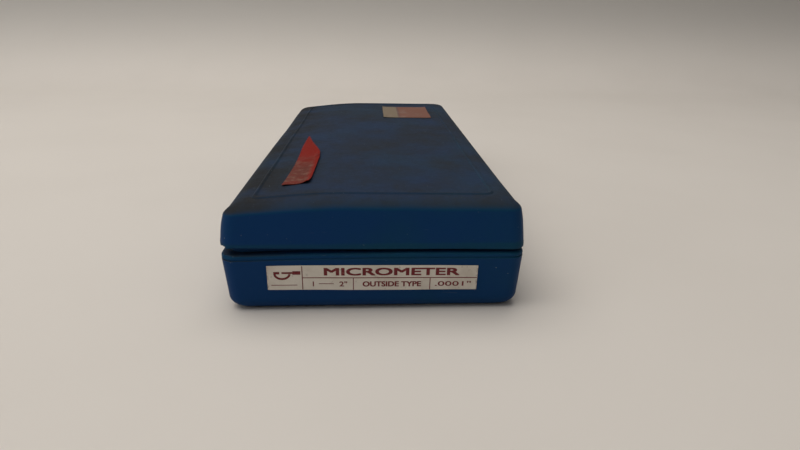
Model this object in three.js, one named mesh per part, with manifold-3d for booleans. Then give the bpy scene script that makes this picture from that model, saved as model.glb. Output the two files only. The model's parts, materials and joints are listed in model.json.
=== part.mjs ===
// An outside micrometer for 1 to 2 inches, in its moulded plastic case, with the lid closed.
// Millimetres, +Z up. The origin is the middle of the case's underside. The case is long in Y,
// the hinge runs along its +X side and the thumb tabs are in the middle of its -X side.
import * as THREE from "three";
import { mergeVertices } from "three/addons/utils/BufferGeometryUtils.js";
import Module from "manifold-3d";

const wasm = await Module();
wasm.setup();

// ---- driving dimensions ----
const INCH = 25.4;

const CASE_LENGTH = 208;
const CASE_WIDTH = 94; // across the lid's rolled rim
const CASE_HEIGHT = 36; // to the top of the bead line on the lid
const PARTING_Z = 19.9; // middle of the gap between the two rims
const PARTING_GAP = 0.4;
const CORNER_RADIUS = 4.6; // of the plan outline at the rim
const CORNER_SHRINK = 0.18; // how much of each millimetre of inset the corner radius loses
const CORNER_STEPS = 4;
const BEAD_HEIGHT = 0.5;
const TAB_WIDTH = 24;
const TAB_THICKNESS = 2.2;

const HINGE_REACH = 3.1; // how far the knuckles and the thumb tabs stand out past the lid's rim
const KNUCKLE_RADIUS = 2.2;
const KNUCKLE_LENGTH = 18;
const KNUCKLE_COUNT = 7; // base and lid in turn, starting and ending with the base
const KNUCKLE_GAP = 0.4;
const KNUCKLE_CLEARANCE = 0.3; // round a knuckle in the other shell's rim
const HINGE_PIN_RADIUS = 1.1;

const BED_TOP = 19.3; // upper face of the foam bed
const LID_PAD_BOTTOM = 28.9;
const SOFT_GAP = 0.3; // between a foam piece and what it lies against

const ROUND_SEGMENTS = 32;
const SMALL_SEGMENTS = 16;
const RUN_GAP = 0.08; // radial clearance of a piece that turns or slides in another
const SEAT_GAP = 0.06; // between two pieces that are fixed together

// micrometer: every place along its axis is a distance from the anvil's measuring face
const AXIS_X = -30; // where the spindle's axis lies in the case
const AXIS_Z = 18;
const ANVIL_FACE_Y = 72;
const REST_GAP = INCH; // anvil to spindle at the low end of the range
const TRAVEL = INCH;
const SPINDLE_RADIUS = INCH / 8;
const TIP_LENGTH = 1.5;
const THREAD_RADIUS = 3.9;
const ANVIL_BOSS = [-14, -4.2];
const ANVIL_BOSS_RADIUS = 6.4;
const BARREL_BOSS = [54, 68];
const BARREL_BOSS_RADIUS = 7.4;
const BOW_DEPTH = 41.5; // from the axis to the outside of the bow
const THROAT_DEPTH = 31;
const BOW_START = 5; // distance from the axis where the bow's curves begin
const FRAME_THICKNESS = 7.8;
const GRIP_THICKNESS = 1.05;
const LOCK_PLACE = 58.5;
const SLEEVE_START = 62;
const SLEEVE_RADIUS = 6.9; // outer, graduated sleeve
const NUT_RADIUS = 5.6; // inner sleeve, which is the nut
const NUT_END = 106;
const THIMBLE_START = 73.4; // the bevelled edge, over the zero line at rest
const THIMBLE_LENGTH = 40.1;
const THIMBLE_RADIUS = 8.9;
const THIMBLE_WALL_END = 4.2; // thickness of the closed rear end
const RATCHET_START = THIMBLE_START + THIMBLE_LENGTH + 0.3;
const RATCHET_FLANGE = 3.2;
const KNOB_LENGTH = 15.8;
const KNOB_RADIUS = 4.8;

// pockets in the foam bed
const POCKET_CLEARANCE = 0.9;
const FRAME_POCKET_FLOOR = 11.4;
const AXIS_POCKET_FLOOR = 10.1;
const THIMBLE_POCKET_FLOOR = 8.7;

// accessories
const STANDARD_PLACE = new THREE.Vector3(-3, -34, 16.4);
const STANDARD_RADIUS = 4;
const STANDARD_GRIP_RADIUS = 5.6;
const STANDARD_GRIP_LENGTH = 14;
const SPANNER_PLACE = new THREE.Vector3(27, 8, 17.5);
const SPANNER_THICKNESS = 1.6;
const SPANNER_ARM = 62;

// label and stickers
const PAPER = 0.15;
const PAPER_GAP = 0.12;
const LABEL_SIZE = [65, 8.3];
const LABEL_HEIGHT = 10.9; // of its middle above the underside
const LABEL_SIDE = -0.4; // of its middle from the case's middle
const LABEL_TURN = 0.012; // it was stuck on a little out of level

// ---- materials ----
const CASE_BLUE = { color: 0x10304a, roughness: 0.42, metalness: 0 };
const FOAM_GREY = { color: 0x23262a, roughness: 0.95, metalness: 0 };
const PAD_GREY = { color: 0x3a3d42, roughness: 0.95, metalness: 0 };
const ENAMEL = { color: 0x2b2f31, roughness: 0.4, metalness: 0.2 };
const STEEL = { color: 0xa9acae, roughness: 0.28, metalness: 1 };
const SATIN_CHROME = { color: 0xc3c6c8, roughness: 0.35, metalness: 1 };
const CARBIDE = { color: 0x6d7073, roughness: 0.2, metalness: 1 };
const BLACK_PLASTIC = { color: 0x17181a, roughness: 0.5, metalness: 0 };
const PAPER_CREAM = { color: 0xd6cdba, roughness: 0.8, metalness: 0 };
const PAPER_RED = { color: 0x9a2a1c, roughness: 0.6, metalness: 0 };
const PAPER_ORANGE = { color: 0xb5653f, roughness: 0.7, metalness: 0 };

const model = new THREE.Group();

// ---- helpers ----

// One closed, welded body with its faces pointing out.
function welded(geometry) {
  const bare = geometry.clone();
  bare.deleteAttribute("normal");
  bare.deleteAttribute("uv");
  const merged = mergeVertices(bare, 1e-4);
  const at = merged.getAttribute("position");
  const old = merged.getIndex().array;
  const index = [];
  for (let i = 0; i < old.length; i += 3) {
    const [a, b, c] = [old[i], old[i + 1], old[i + 2]];
    if (a !== b && b !== c && c !== a) index.push(a, b, c);
  }
  const corner = [new THREE.Vector3(), new THREE.Vector3(), new THREE.Vector3()];
  let volume = 0;
  for (let i = 0; i < index.length; i += 3) {
    corner.forEach((point, k) => point.fromBufferAttribute(at, index[i + k]));
    volume += corner[0].dot(corner[1].clone().cross(corner[2]));
  }
  if (volume < 0) index.reverse();
  merged.setIndex(index);
  return merged;
}

function toSolid(geometry) {
  const body = welded(geometry);
  const vertProperties = new Float32Array(body.getAttribute("position").array);
  const triVerts = new Uint32Array(body.getIndex().array);
  return new wasm.Manifold(new wasm.Mesh({ numProp: 3, vertProperties, triVerts }));
}

function toGeometry(solid) {
  const mesh = solid.getMesh();
  const geometry = new THREE.BufferGeometry();
  geometry.setAttribute("position", new THREE.BufferAttribute(mesh.vertProperties, 3));
  geometry.setIndex(new THREE.BufferAttribute(mesh.triVerts, 1));
  return geometry;
}

function joined(first, ...others) {
  return toGeometry(others.reduce((solid, other) => solid.add(toSolid(other)), toSolid(first)));
}

function cut(first, ...cutters) {
  return toGeometry(cutters.reduce((solid, cutter) => solid.subtract(toSolid(cutter)), toSolid(first)));
}

function addPart(group, name, geometry, look) {
  const mesh = new THREE.Mesh(geometry, new THREE.MeshStandardMaterial(look));
  mesh.name = name;
  group.add(mesh);
  return mesh;
}

function box(low, high) {
  const geometry = new THREE.BoxGeometry(high[0] - low[0], high[1] - low[1], high[2] - low[2]);
  geometry.translate((low[0] + high[0]) / 2, (low[1] + high[1]) / 2, (low[2] + high[2]) / 2);
  return geometry;
}

// A body turned about the Y axis: its profile is a list of [radius, place along Y].
function turned(profile, segments = ROUND_SEGMENTS) {
  const points = profile.map(([radius, place]) => new THREE.Vector2(radius, place));
  return welded(new THREE.LatheGeometry(points, segments));
}

function rod(radius, start, end, segments = ROUND_SEGMENTS) {
  return turned([[0, start], [radius, start], [radius, end], [0, end]], segments);
}

function tube(inner, outer, start, end, segments = ROUND_SEGMENTS) {
  return turned([[inner, start], [outer, start], [outer, end], [inner, end], [inner, start]], segments);
}

// An upright cylinder from one height to another.
function post(radius, x, y, low, high, segments = SMALL_SEGMENTS) {
  const geometry = new THREE.CylinderGeometry(radius, radius, high - low, segments);
  geometry.rotateX(Math.PI / 2);
  geometry.translate(x, y, (low + high) / 2);
  return geometry;
}

function plate(outline, low, high, bevel = 0) {
  const shape = new THREE.Shape(outline);
  const geometry = new THREE.ExtrudeGeometry(shape, {
    depth: high - low - 2 * bevel,
    bevelEnabled: bevel > 0,
    bevelSize: bevel,
    bevelOffset: -bevel,
    bevelThickness: bevel,
    bevelSegments: 1,
  });
  geometry.translate(0, 0, low + bevel);
  return geometry;
}

function arc(centreX, centreY, radiusX, radiusY, from, to, steps) {
  return Array.from({ length: steps + 1 }, (_, i) => {
    const angle = from + ((to - from) * i) / steps;
    return new THREE.Vector2(centreX + radiusX * Math.cos(angle), centreY + radiusY * Math.sin(angle));
  });
}

// ---- case shells ----

function outlineRing(inset, z) {
  const halfX = CASE_WIDTH / 2 - inset;
  const halfY = CASE_LENGTH / 2 - inset;
  const radius = CORNER_RADIUS - CORNER_SHRINK * inset;
  const corners = [[1, 1, 0], [-1, 1, 1], [-1, -1, 2], [1, -1, 3]];
  return corners.flatMap(([signX, signY, quarter]) => {
    const start = (quarter * Math.PI) / 2;
    const x = signX * (halfX - radius);
    const y = signY * (halfY - radius);
    const turn = arc(x, y, radius, radius, start, start + Math.PI / 2, CORNER_STEPS);
    return turn.map((point) => new THREE.Vector3(point.x, point.y, z));
  });
}

// A body through a list of [inset, height] rings, closed across its first and its last ring.
function ringLoft(profile) {
  const rings = profile.map(([inset, z]) => outlineRing(inset, z));
  const count = rings[0].length;
  const points = rings.flat();
  const index = [];
  for (let r = 0; r + 1 < rings.length; r += 1) {
    for (let i = 0; i < count; i += 1) {
      const a = r * count + i;
      const b = r * count + ((i + 1) % count);
      index.push(a, b, b + count, a, b + count, a + count);
    }
  }
  const first = points.push(new THREE.Vector3(0, 0, profile[0][1])) - 1;
  const last = points.push(new THREE.Vector3(0, 0, profile[profile.length - 1][1])) - 1;
  for (let i = 0; i < count; i += 1) {
    const next = (i + 1) % count;
    const end = (rings.length - 1) * count;
    index.push(first, next, i, last, end + i, end + next);
  }
  const geometry = new THREE.BufferGeometry().setFromPoints(points);
  geometry.setIndex(index);
  return welded(geometry);
}

const BASE_RIM = PARTING_Z - PARTING_GAP / 2;
const LID_RIM = PARTING_Z + PARTING_GAP / 2;
const PANEL_Z = CASE_HEIGHT - BEAD_HEIGHT;
const RIM_THICKNESS = 2.2;
const HINGE_X = CASE_WIDTH / 2 + HINGE_REACH - KNUCKLE_RADIUS;
const WALL_LOW = [0.9, 4.4]; // inset and height where the base's wall leaves its bottom edge
const WALL_HIGH = [0.1, 17.6]; // and where it meets the rolled rim

// Both rims are rolled: they bulge a little from the wall and curve in to the parting.
const BASE_PROFILE = [
  [5, 0], [3, 0.5], [1.7, 1.9], WALL_LOW, WALL_HIGH, [0.4, 17.9], [0.1, 18.4], [0.2, 19], [0.8, 19.5],
  [1.9, BASE_RIM], [2.7, BASE_RIM], [2.7, 21], [3.5, 21], [3.6, BED_TOP], [4.7, 3.8], [6.2, 2.2], [7.2, 2],
];
const LID_PROFILE = [
  [10.1, PANEL_Z], [9.5, CASE_HEIGHT], [8.9, CASE_HEIGHT], [8.4, PANEL_Z], [5.6, PANEL_Z],
  [3.6, 35], [2, 33.6], [1.2, 31.6], [0.2, 23.6], [0, 22.6], [0.1, 21], [0.5, LID_RIM],
  [2.35, LID_RIM], [2.6, 24], [3.3, 31], [4.8, 32.9], [6.4, 33.4],
];

function knuckleSpans() {
  const pitch = KNUCKLE_LENGTH + KNUCKLE_GAP;
  const start = -(KNUCKLE_COUNT * pitch - KNUCKLE_GAP) / 2;
  return Array.from({ length: KNUCKLE_COUNT }, (_, i) => [start + i * pitch, start + i * pitch + KNUCKLE_LENGTH]);
}

function alongHinge(radius, from, to) {
  return rod(radius, from, to, SMALL_SEGMENTS).translate(HINGE_X, 0, PARTING_Z);
}

// The knuckles of one shell: barrels on the hinge line, each with a web to its rim.
function withKnuckles(shell, own, others, side) {
  const inner = CASE_WIDTH / 2 - RIM_THICKNESS;
  const rim = PARTING_Z + (side * PARTING_GAP) / 2;
  const edge = PARTING_Z + side * (KNUCKLE_RADIUS - 0.1);
  const low = Math.min(rim, edge);
  const high = Math.max(rim, edge);
  const barrels = own.map(([from, to]) => alongHinge(KNUCKLE_RADIUS, from, to));
  const webs = own.map(([from, to]) => box([inner, from, low], [HINGE_X, to, high]));
  const reliefs = others.map(([from, to]) =>
    alongHinge(KNUCKLE_RADIUS + KNUCKLE_CLEARANCE, from - KNUCKLE_GAP, to + KNUCKLE_GAP));
  const bore = alongHinge(HINGE_PIN_RADIUS + RUN_GAP, -CASE_LENGTH / 2, CASE_LENGTH / 2);
  return cut(joined(cut(shell, ...reliefs), ...barrels, ...webs), bore);
}

function thumbTab(low, high) {
  const outer = CASE_WIDTH / 2 + HINGE_REACH;
  const inner = CASE_WIDTH / 2 - RIM_THICKNESS;
  const half = TAB_WIDTH / 2;
  const outline = [[-inner, -half], [-inner, half], [-outer + 1.6, half], [-outer, half - 3],
    [-outer, 3 - half], [-outer + 1.6, -half]].map(([x, y]) => new THREE.Vector2(x, y));
  return plate(outline, low, high);
}

function addCase() {
  const spans = knuckleSpans();
  const baseSpans = spans.filter((_, i) => i % 2 === 0);
  const lidSpans = spans.filter((_, i) => i % 2 === 1);
  const base = joined(ringLoft(BASE_PROFILE), thumbTab(BASE_RIM - TAB_THICKNESS, BASE_RIM));
  const lid = joined(ringLoft(LID_PROFILE), thumbTab(LID_RIM, LID_RIM + TAB_THICKNESS));
  addPart(model, "case_base", withKnuckles(base, baseSpans, lidSpans, -1), CASE_BLUE);
  addPart(model, "case_lid", withKnuckles(lid, lidSpans, baseSpans, 1), CASE_BLUE);
  const pinHalf = spans[spans.length - 1][1] - 0.5;
  addPart(model, "hinge_pin", alongHinge(HINGE_PIN_RADIUS, -pinHalf, pinHalf), STEEL);
}

// ---- label and stickers ----

// The label lies on the near end wall, leaning with the wall's draft.
function addLabel() {
  const [width, height] = LABEL_SIZE;
  const lean = Math.atan2(WALL_LOW[0] - WALL_HIGH[0], WALL_HIGH[1] - WALL_LOW[1]);
  const share = (LABEL_HEIGHT - WALL_LOW[1]) / (WALL_HIGH[1] - WALL_LOW[1]);
  const inset = WALL_LOW[0] + share * (WALL_HIGH[0] - WALL_LOW[0]);
  const geometry = new THREE.BoxGeometry(width, PAPER, height);
  const label = addPart(model, "end_label", geometry, PAPER_CREAM);
  label.rotation.set(lean, LABEL_TURN, 0, "YXZ");
  label.position.set(LABEL_SIDE, -CASE_LENGTH / 2 + inset - PAPER_GAP - PAPER / 2, LABEL_HEIGHT);
}

function addStickers() {
  const low = PANEL_Z + PAPER_GAP;
  const torn = [[-29.9, -83.8], [-21.3, -82.2], [-20.8, -79], [-20.8, -47], [-21.6, -37.4], [-26.3, -17],
    [-29.3, -3.4], [-29.9, -23.7], [-29.2, -53.8]].map(([x, y]) => new THREE.Vector2(x, y));
  addPart(model, "sticker_red", plate(torn, low, low + PAPER), PAPER_RED);
  const far = [[6, 44], [32, 44], [32, 82], [6, 82]].map(([x, y]) => new THREE.Vector2(x, y));
  addPart(model, "sticker_orange", plate(far, low, low + PAPER), PAPER_ORANGE);
}

// ---- micrometer ----

// In its own group the axis is Y, from the anvil's face towards the ratchet, and the bow is
// on the -X side: a half turn about Z lays it in the case with the bow towards the hinge.
const micrometer = new THREE.Group();
micrometer.position.set(AXIS_X, ANVIL_FACE_Y, AXIS_Z);
micrometer.rotation.z = Math.PI;
model.add(micrometer);

const THROAT_MIDDLE = (ANVIL_BOSS[1] + BARREL_BOSS[0]) / 2;
const BOW_MIDDLE = (ANVIL_BOSS[0] + BARREL_BOSS[1]) / 2;
const HALF_TURN = Math.PI;

function bowArc(depth, middle, halfWidth, from, to, steps) {
  return arc(0, 0, halfWidth, depth, from, to, steps)
    .map((point) => new THREE.Vector2(-BOW_START - point.y, middle + point.x));
}

function frameOutline(backing) {
  const [anvilOuter, anvilInner] = ANVIL_BOSS;
  const [barrelInner, barrelOuter] = BARREL_BOSS;
  const throat = bowArc(THROAT_DEPTH - BOW_START, THROAT_MIDDLE, THROAT_MIDDLE - anvilInner, HALF_TURN, 0, 22);
  const outside = bowArc(BOW_DEPTH - BOW_START, BOW_MIDDLE, BOW_MIDDLE - anvilOuter, 0, HALF_TURN, 26);
  return [
    new THREE.Vector2(backing, anvilOuter), new THREE.Vector2(backing, anvilInner), ...throat,
    new THREE.Vector2(backing, barrelInner), new THREE.Vector2(backing, barrelOuter), ...outside,
  ];
}

// Middle line of the bow, where the grip plates' screws sit.
function bowPoint(angle) {
  const depth = (BOW_DEPTH + THROAT_DEPTH) / 2 - BOW_START;
  const [point] = bowArc(depth, (THROAT_MIDDLE + BOW_MIDDLE) / 2, depth, angle, angle, 1);
  return point;
}

const GRIP_SCREW_ANGLES = [Math.PI * 0.36, Math.PI * 0.64];
const GRIP_SCREW_RADIUS = 0.9;
const GRIP_SCREW_DEPTH = 2.4; // into the frame

function addFrame() {
  const half = FRAME_THICKNESS / 2;
  const bow = plate(frameOutline(ANVIL_BOSS_RADIUS - 2.2), -half, half, 0.7);
  const anvilBoss = rod(ANVIL_BOSS_RADIUS, ...ANVIL_BOSS);
  const barrelBoss = rod(BARREL_BOSS_RADIUS, ...BARREL_BOSS);
  const bores = [
    rod(SPINDLE_RADIUS + SEAT_GAP, ANVIL_BOSS[0] - 1, ANVIL_BOSS[1] + 1),
    rod(SPINDLE_RADIUS + RUN_GAP, BARREL_BOSS[0] - 1, SLEEVE_START + 1),
    rod(NUT_RADIUS + SEAT_GAP, SLEEVE_START, BARREL_BOSS[1] + 1),
    post(1.6, 0, LOCK_PLACE, 0, BARREL_BOSS_RADIUS + 1),
  ];
  const screwHoles = GRIP_SCREW_ANGLES.flatMap((angle) => {
    const { x, y } = bowPoint(angle);
    const radius = GRIP_SCREW_RADIUS + SEAT_GAP;
    const depth = GRIP_SCREW_DEPTH + 0.2;
    return [post(radius, x, y, half - depth, half + 1), post(radius, x, y, -half - 1, depth - half)];
  });
  addPart(micrometer, "frame", cut(joined(bow, anvilBoss, barrelBoss), ...bores, ...screwHoles), ENAMEL);
}

function gripOutline() {
  const from = Math.PI * 0.24;
  const to = Math.PI * 0.76;
  const margin = 2.1;
  const outer = BOW_DEPTH - BOW_START - margin;
  const inner = THROAT_DEPTH - BOW_START + margin;
  const outerHalf = BOW_MIDDLE - ANVIL_BOSS[0] - margin;
  const innerHalf = THROAT_MIDDLE - ANVIL_BOSS[1] + margin;
  return [
    ...bowArc(outer, BOW_MIDDLE, outerHalf, from, to, 12),
    ...bowArc(inner, THROAT_MIDDLE, innerHalf, to - 0.03, from + 0.03, 12),
  ];
}

// The two insulating plates keep the hand's warmth out of the frame. Each has two screws.
function addGrips() {
  const half = FRAME_THICKNESS / 2;
  const sides = { upper: 1, lower: -1 };
  Object.entries(sides).forEach(([side, sign]) => {
    const near = sign * (half + SEAT_GAP);
    const far = sign * (half + SEAT_GAP + GRIP_THICKNESS);
    const holes = GRIP_SCREW_ANGLES.map(bowPoint)
      .map(({ x, y }) => post(GRIP_SCREW_RADIUS + SEAT_GAP, x, y, -half * 3, half * 3));
    const pad = plate(gripOutline(), Math.min(near, far), Math.max(near, far));
    addPart(micrometer, `grip_plate_${side}`, cut(pad, ...holes), BLACK_PLASTIC);
    GRIP_SCREW_ANGLES.map(bowPoint).forEach(({ x, y }, i) => {
      const head = far + sign * SEAT_GAP;
      const top = head + sign * 0.7;
      const tip = sign * (half - GRIP_SCREW_DEPTH);
      const shank = post(GRIP_SCREW_RADIUS, x, y, Math.min(tip, top), Math.max(tip, top));
      const cap = post(1.7, x, y, Math.min(head, top), Math.max(head, top));
      const slot = box([x - 2, y - 0.2, Math.min(top, top - sign * 0.35) - (sign < 0 ? 0.1 : 0)],
        [x + 2, y + 0.2, Math.max(top, top - sign * 0.35) + (sign > 0 ? 0.1 : 0)]);
      addPart(micrometer, `grip_screw_${side}_${i + 1}`, cut(joined(shank, cap), slot), STEEL);
    });
  });
}

function addAnvil() {
  const bevel = 0.3;
  const anvil = turned([[0, -15.2], [SPINDLE_RADIUS - bevel, -15.2], [SPINDLE_RADIUS, -15.2 + bevel],
    [SPINDLE_RADIUS, -TIP_LENGTH - SEAT_GAP], [0, -TIP_LENGTH - SEAT_GAP]]);
  addPart(micrometer, "anvil", anvil, STEEL);
  const tip = turned([[0, -TIP_LENGTH], [SPINDLE_RADIUS, -TIP_LENGTH], [SPINDLE_RADIUS, -0.15],
    [SPINDLE_RADIUS - 0.15, 0], [0, 0]]);
  addPart(micrometer, "anvil_tip", tip, CARBIDE);
}

const SPINDLE_END = RATCHET_START + RATCHET_FLANGE - 0.3;
const THREAD_START = BARREL_BOSS[1] + 1;
const THREAD_END = NUT_END + 2;
const TAPER_RADIUS = 3;
const RATCHET_SCREW_RADIUS = 1.4;

function addSpindle() {
  const start = REST_GAP;
  const tip = turned([[0, start], [SPINDLE_RADIUS - 0.15, start], [SPINDLE_RADIUS, start + 0.15],
    [SPINDLE_RADIUS, start + TIP_LENGTH], [0, start + TIP_LENGTH]]);
  addPart(micrometer, "spindle_tip", tip, CARBIDE);
  const hole = RATCHET_SCREW_RADIUS + SEAT_GAP;
  const spindle = turned([
    [0, start + TIP_LENGTH + SEAT_GAP], [SPINDLE_RADIUS, start + TIP_LENGTH + SEAT_GAP],
    [SPINDLE_RADIUS, THREAD_START], [THREAD_RADIUS, THREAD_START + 0.7], [THREAD_RADIUS, THREAD_END],
    [TAPER_RADIUS, THREAD_END + 0.9], [TAPER_RADIUS, SPINDLE_END], [hole, SPINDLE_END],
    [hole, SPINDLE_END - 6], [0, SPINDLE_END - 6],
  ]);
  addPart(micrometer, "spindle", spindle, STEEL);
}

function addSleeves() {
  const nut = turned([
    [THREAD_RADIUS + RUN_GAP, SLEEVE_START + 0.2], [NUT_RADIUS, SLEEVE_START + 0.2],
    [NUT_RADIUS, 101.5], [4.9, 102], [4.9, NUT_END], [THREAD_RADIUS + RUN_GAP, NUT_END],
    [THREAD_RADIUS + RUN_GAP, SLEEVE_START + 0.2],
  ]);
  addPart(micrometer, "inner_sleeve", nut, STEEL);
  const outer = tube(NUT_RADIUS + SEAT_GAP, SLEEVE_RADIUS, BARREL_BOSS[1] + SEAT_GAP, 101.4);
  const spannerHole = post(0.8, 0, 99, -SLEEVE_RADIUS - 1, -NUT_RADIUS + 0.2);
  addPart(micrometer, "graduated_sleeve", cut(outer, spannerHole), SATIN_CHROME);
  const ring = tube(4.9 + SEAT_GAP, 6.5, 102.4, 105.6);
  const slots = [0, 1].map((i) => box([-7, 103.4, -0.5], [7, 104.6, 0.5]).rotateY((i * Math.PI) / 2));
  const shallow = slots.map((slot) => cut(slot, rod(5.9, 100, 110)));
  addPart(micrometer, "adjusting_nut", cut(ring, ...shallow), STEEL);
}

function addThimble() {
  const bore = SLEEVE_RADIUS + RUN_GAP + 0.1;
  const end = THIMBLE_START + THIMBLE_LENGTH;
  const seat = TAPER_RADIUS + SEAT_GAP;
  const thimble = turned([
    [bore, THIMBLE_START], [bore + 0.35, THIMBLE_START], [8.4, THIMBLE_START + 5.5],
    [8.4, THIMBLE_START + 15], [THIMBLE_RADIUS, THIMBLE_START + 15.4], [THIMBLE_RADIUS, end - 3],
    [8.2, end - 1.6], [7.4, end], [seat, end], [seat, end - THIMBLE_WALL_END],
    [bore, end - THIMBLE_WALL_END], [bore, THIMBLE_START],
  ]);
  addPart(micrometer, "thimble", thimble, SATIN_CHROME);
}

function springCoil(radius, wire, start, end, turns) {
  const steps = turns * 10;
  const path = new THREE.CatmullRomCurve3(Array.from({ length: steps + 1 }, (_, i) => {
    const angle = (2 * Math.PI * turns * i) / steps;
    const place = start + ((end - start) * i) / steps;
    return new THREE.Vector3(radius * Math.cos(angle), place, radius * Math.sin(angle));
  }));
  const section = new THREE.Shape(arc(0, 0, wire, wire, 0, (5 * Math.PI) / 3, 5));
  return new THREE.ExtrudeGeometry(section, { steps, extrudePath: path, bevelEnabled: false });
}

// The ratchet stop: a flange fixed to the spindle, and a knob that slips round on it.
function addRatchet() {
  const flangeEnd = RATCHET_START + RATCHET_FLANGE;
  const flange = tube(TAPER_RADIUS + SEAT_GAP, 6.2, RATCHET_START, flangeEnd);
  const flats = [-1, 1].map((side) => box([side * 6.6 - 1, 0, -9], [side * 6.6 + 1, 200, 9]));
  addPart(micrometer, "ratchet_body", cut(flange, ...flats), STEEL);
  const knobStart = flangeEnd + 0.3;
  const knobEnd = knobStart + KNOB_LENGTH;
  const well = knobStart + 4.6;
  const counterbore = knobEnd - 2.4;
  const hole = RATCHET_SCREW_RADIUS + RUN_GAP;
  const knob = turned([
    [3.4, knobStart], [KNOB_RADIUS, knobStart], [KNOB_RADIUS, knobStart + 3], [4, knobStart + 3.6],
    [4, knobStart + 4.6], [KNOB_RADIUS, knobStart + 5.2], [KNOB_RADIUS, knobEnd - 0.6],
    [KNOB_RADIUS - 0.6, knobEnd], [2.8, knobEnd], [2.8, counterbore], [hole, counterbore],
    [hole, well], [3.4, well], [3.4, knobStart],
  ], SMALL_SEGMENTS * 1.5);
  addPart(micrometer, "ratchet_knob", knob, SATIN_CHROME);
  const spring = springCoil(2.5, 0.35, knobStart + 0.6, well - 0.6, 3);
  addPart(micrometer, "ratchet_spring", welded(spring), STEEL);
  const headStart = counterbore + 0.15;
  const screw = turned([
    [0, SPINDLE_END - 5.5], [RATCHET_SCREW_RADIUS, SPINDLE_END - 5.5], [RATCHET_SCREW_RADIUS, headStart],
    [2.5, headStart], [2.5, headStart + 1.4], [0, headStart + 1.4],
  ], SMALL_SEGMENTS);
  const slot = box([-3, headStart + 0.8, -0.3], [3, headStart + 2, 0.3]);
  addPart(micrometer, "ratchet_screw", cut(screw, slot), STEEL);
}

// The lever clamps the spindle through its screw. At rest it points along the bow.
function addLock() {
  const low = BARREL_BOSS_RADIUS + 0.2;
  const high = low + 2;
  const tip = SPINDLE_RADIUS + 0.25;
  const arm = 12.5;
  const outline = [
    ...arc(0, LOCK_PLACE, 3.4, 3.4, -Math.PI * 0.36, Math.PI * 0.36, 8),
    ...arc(-arm + 1.9, LOCK_PLACE, 1.9, 1.9, Math.PI / 2, Math.PI * 1.5, 6),
  ];
  const lever = plate(outline, low, high, 0.3);
  const seat = post(1.5 + SEAT_GAP, 0, LOCK_PLACE, low - 1, high + 1);
  addPart(micrometer, "lock_lever", cut(lever, seat), STEEL);
  const shank = post(1.5, 0, LOCK_PLACE, tip, high + SEAT_GAP + 0.8);
  const head = post(2.4, 0, LOCK_PLACE, high + SEAT_GAP, high + SEAT_GAP + 0.8);
  const slot = box([-3, LOCK_PLACE - 0.3, high + 0.5], [3, LOCK_PLACE + 0.3, high + 2]);
  addPart(micrometer, "lock_screw", cut(joined(shank, head), slot), STEEL);
}

// ---- accessories ----

function addStandard() {
  const half = INCH / 2;
  const body = turned([[0, -half], [STANDARD_RADIUS - 0.3, -half], [STANDARD_RADIUS, -half + 0.3],
    [STANDARD_RADIUS, half - 0.3], [STANDARD_RADIUS - 0.3, half], [0, half]]);
  const standard = addPart(model, "setting_standard", body, STEEL);
  const gripHalf = STANDARD_GRIP_LENGTH / 2;
  const grip = turned([
    [STANDARD_RADIUS + SEAT_GAP, -gripHalf], [STANDARD_GRIP_RADIUS - 0.5, -gripHalf],
    [STANDARD_GRIP_RADIUS, 0.5 - gripHalf], [STANDARD_GRIP_RADIUS, gripHalf - 0.5],
    [STANDARD_GRIP_RADIUS - 0.5, gripHalf], [STANDARD_RADIUS + SEAT_GAP, gripHalf],
    [STANDARD_RADIUS + SEAT_GAP, -gripHalf],
  ]);
  const sleeve = addPart(model, "standard_grip", grip, BLACK_PLASTIC);
  [standard, sleeve].forEach((piece) => piece.position.copy(STANDARD_PLACE));
}

// The spanner turns the graduated sleeve and the adjusting nut: a hook with a tooth, on a flat arm.
function addSpanner() {
  const hookInner = SLEEVE_RADIUS + 0.4;
  const hookOuter = hookInner + 4.2;
  const armHalf = 3.6;
  const armStart = -Math.sqrt(hookOuter ** 2 - armHalf ** 2);
  const outer = arc(0, 0, hookOuter, hookOuter, Math.PI * 0.38, -Math.PI / 2 + 0.34, 12);
  const outerLeft = arc(0, 0, hookOuter, hookOuter, -Math.PI / 2 - 0.34, -Math.PI * 0.72, 4);
  const inner = arc(0, 0, hookInner, hookInner, -Math.PI * 0.72, Math.PI * 0.3, 14);
  const tooth = [[3.3, hookInner - 2.3], [2, hookInner - 1.6], [2.2, hookInner + 0.1]]
    .map(([x, y]) => new THREE.Vector2(x, y));
  const end = arc(0, armStart - SPANNER_ARM + armHalf, armHalf, armHalf, 0, -Math.PI, 8);
  const outline = [...outer, ...end, ...outerLeft, ...inner, ...tooth];
  const hole = post(1.7, 0, armStart - SPANNER_ARM + armHalf, -1, SPANNER_THICKNESS + 1);
  const spanner = addPart(model, "spanner", cut(plate(outline, 0, SPANNER_THICKNESS), hole), STEEL);
  spanner.position.copy(SPANNER_PLACE);
}

// ---- foam ----

function pocket(xRange, yRange, floor) {
  return box([xRange[0], yRange[0], floor], [xRange[1], yRange[1], BED_TOP + 5]);
}

// A pocket beside the axis, given by distances from the axis and from the anvil's face.
function axisPocket(reach, from, to, floor) {
  return pocket([AXIS_X - reach, AXIS_X + reach], [ANVIL_FACE_Y - to, ANVIL_FACE_Y - from], floor);
}

function framePocket() {
  const margin = POCKET_CLEARANCE;
  const half = BOW_MIDDLE - ANVIL_BOSS[0] + margin;
  const bow = bowArc(BOW_DEPTH - BOW_START + margin, BOW_MIDDLE, half, 0, HALF_TURN, 26);
  const outline = [new THREE.Vector2(6, BOW_MIDDLE - half), new THREE.Vector2(6, BOW_MIDDLE + half), ...bow]
    .map((point) => new THREE.Vector2(AXIS_X - point.x, ANVIL_FACE_Y - point.y));
  return plate(outline, FRAME_POCKET_FLOOR, BED_TOP + 5);
}

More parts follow.
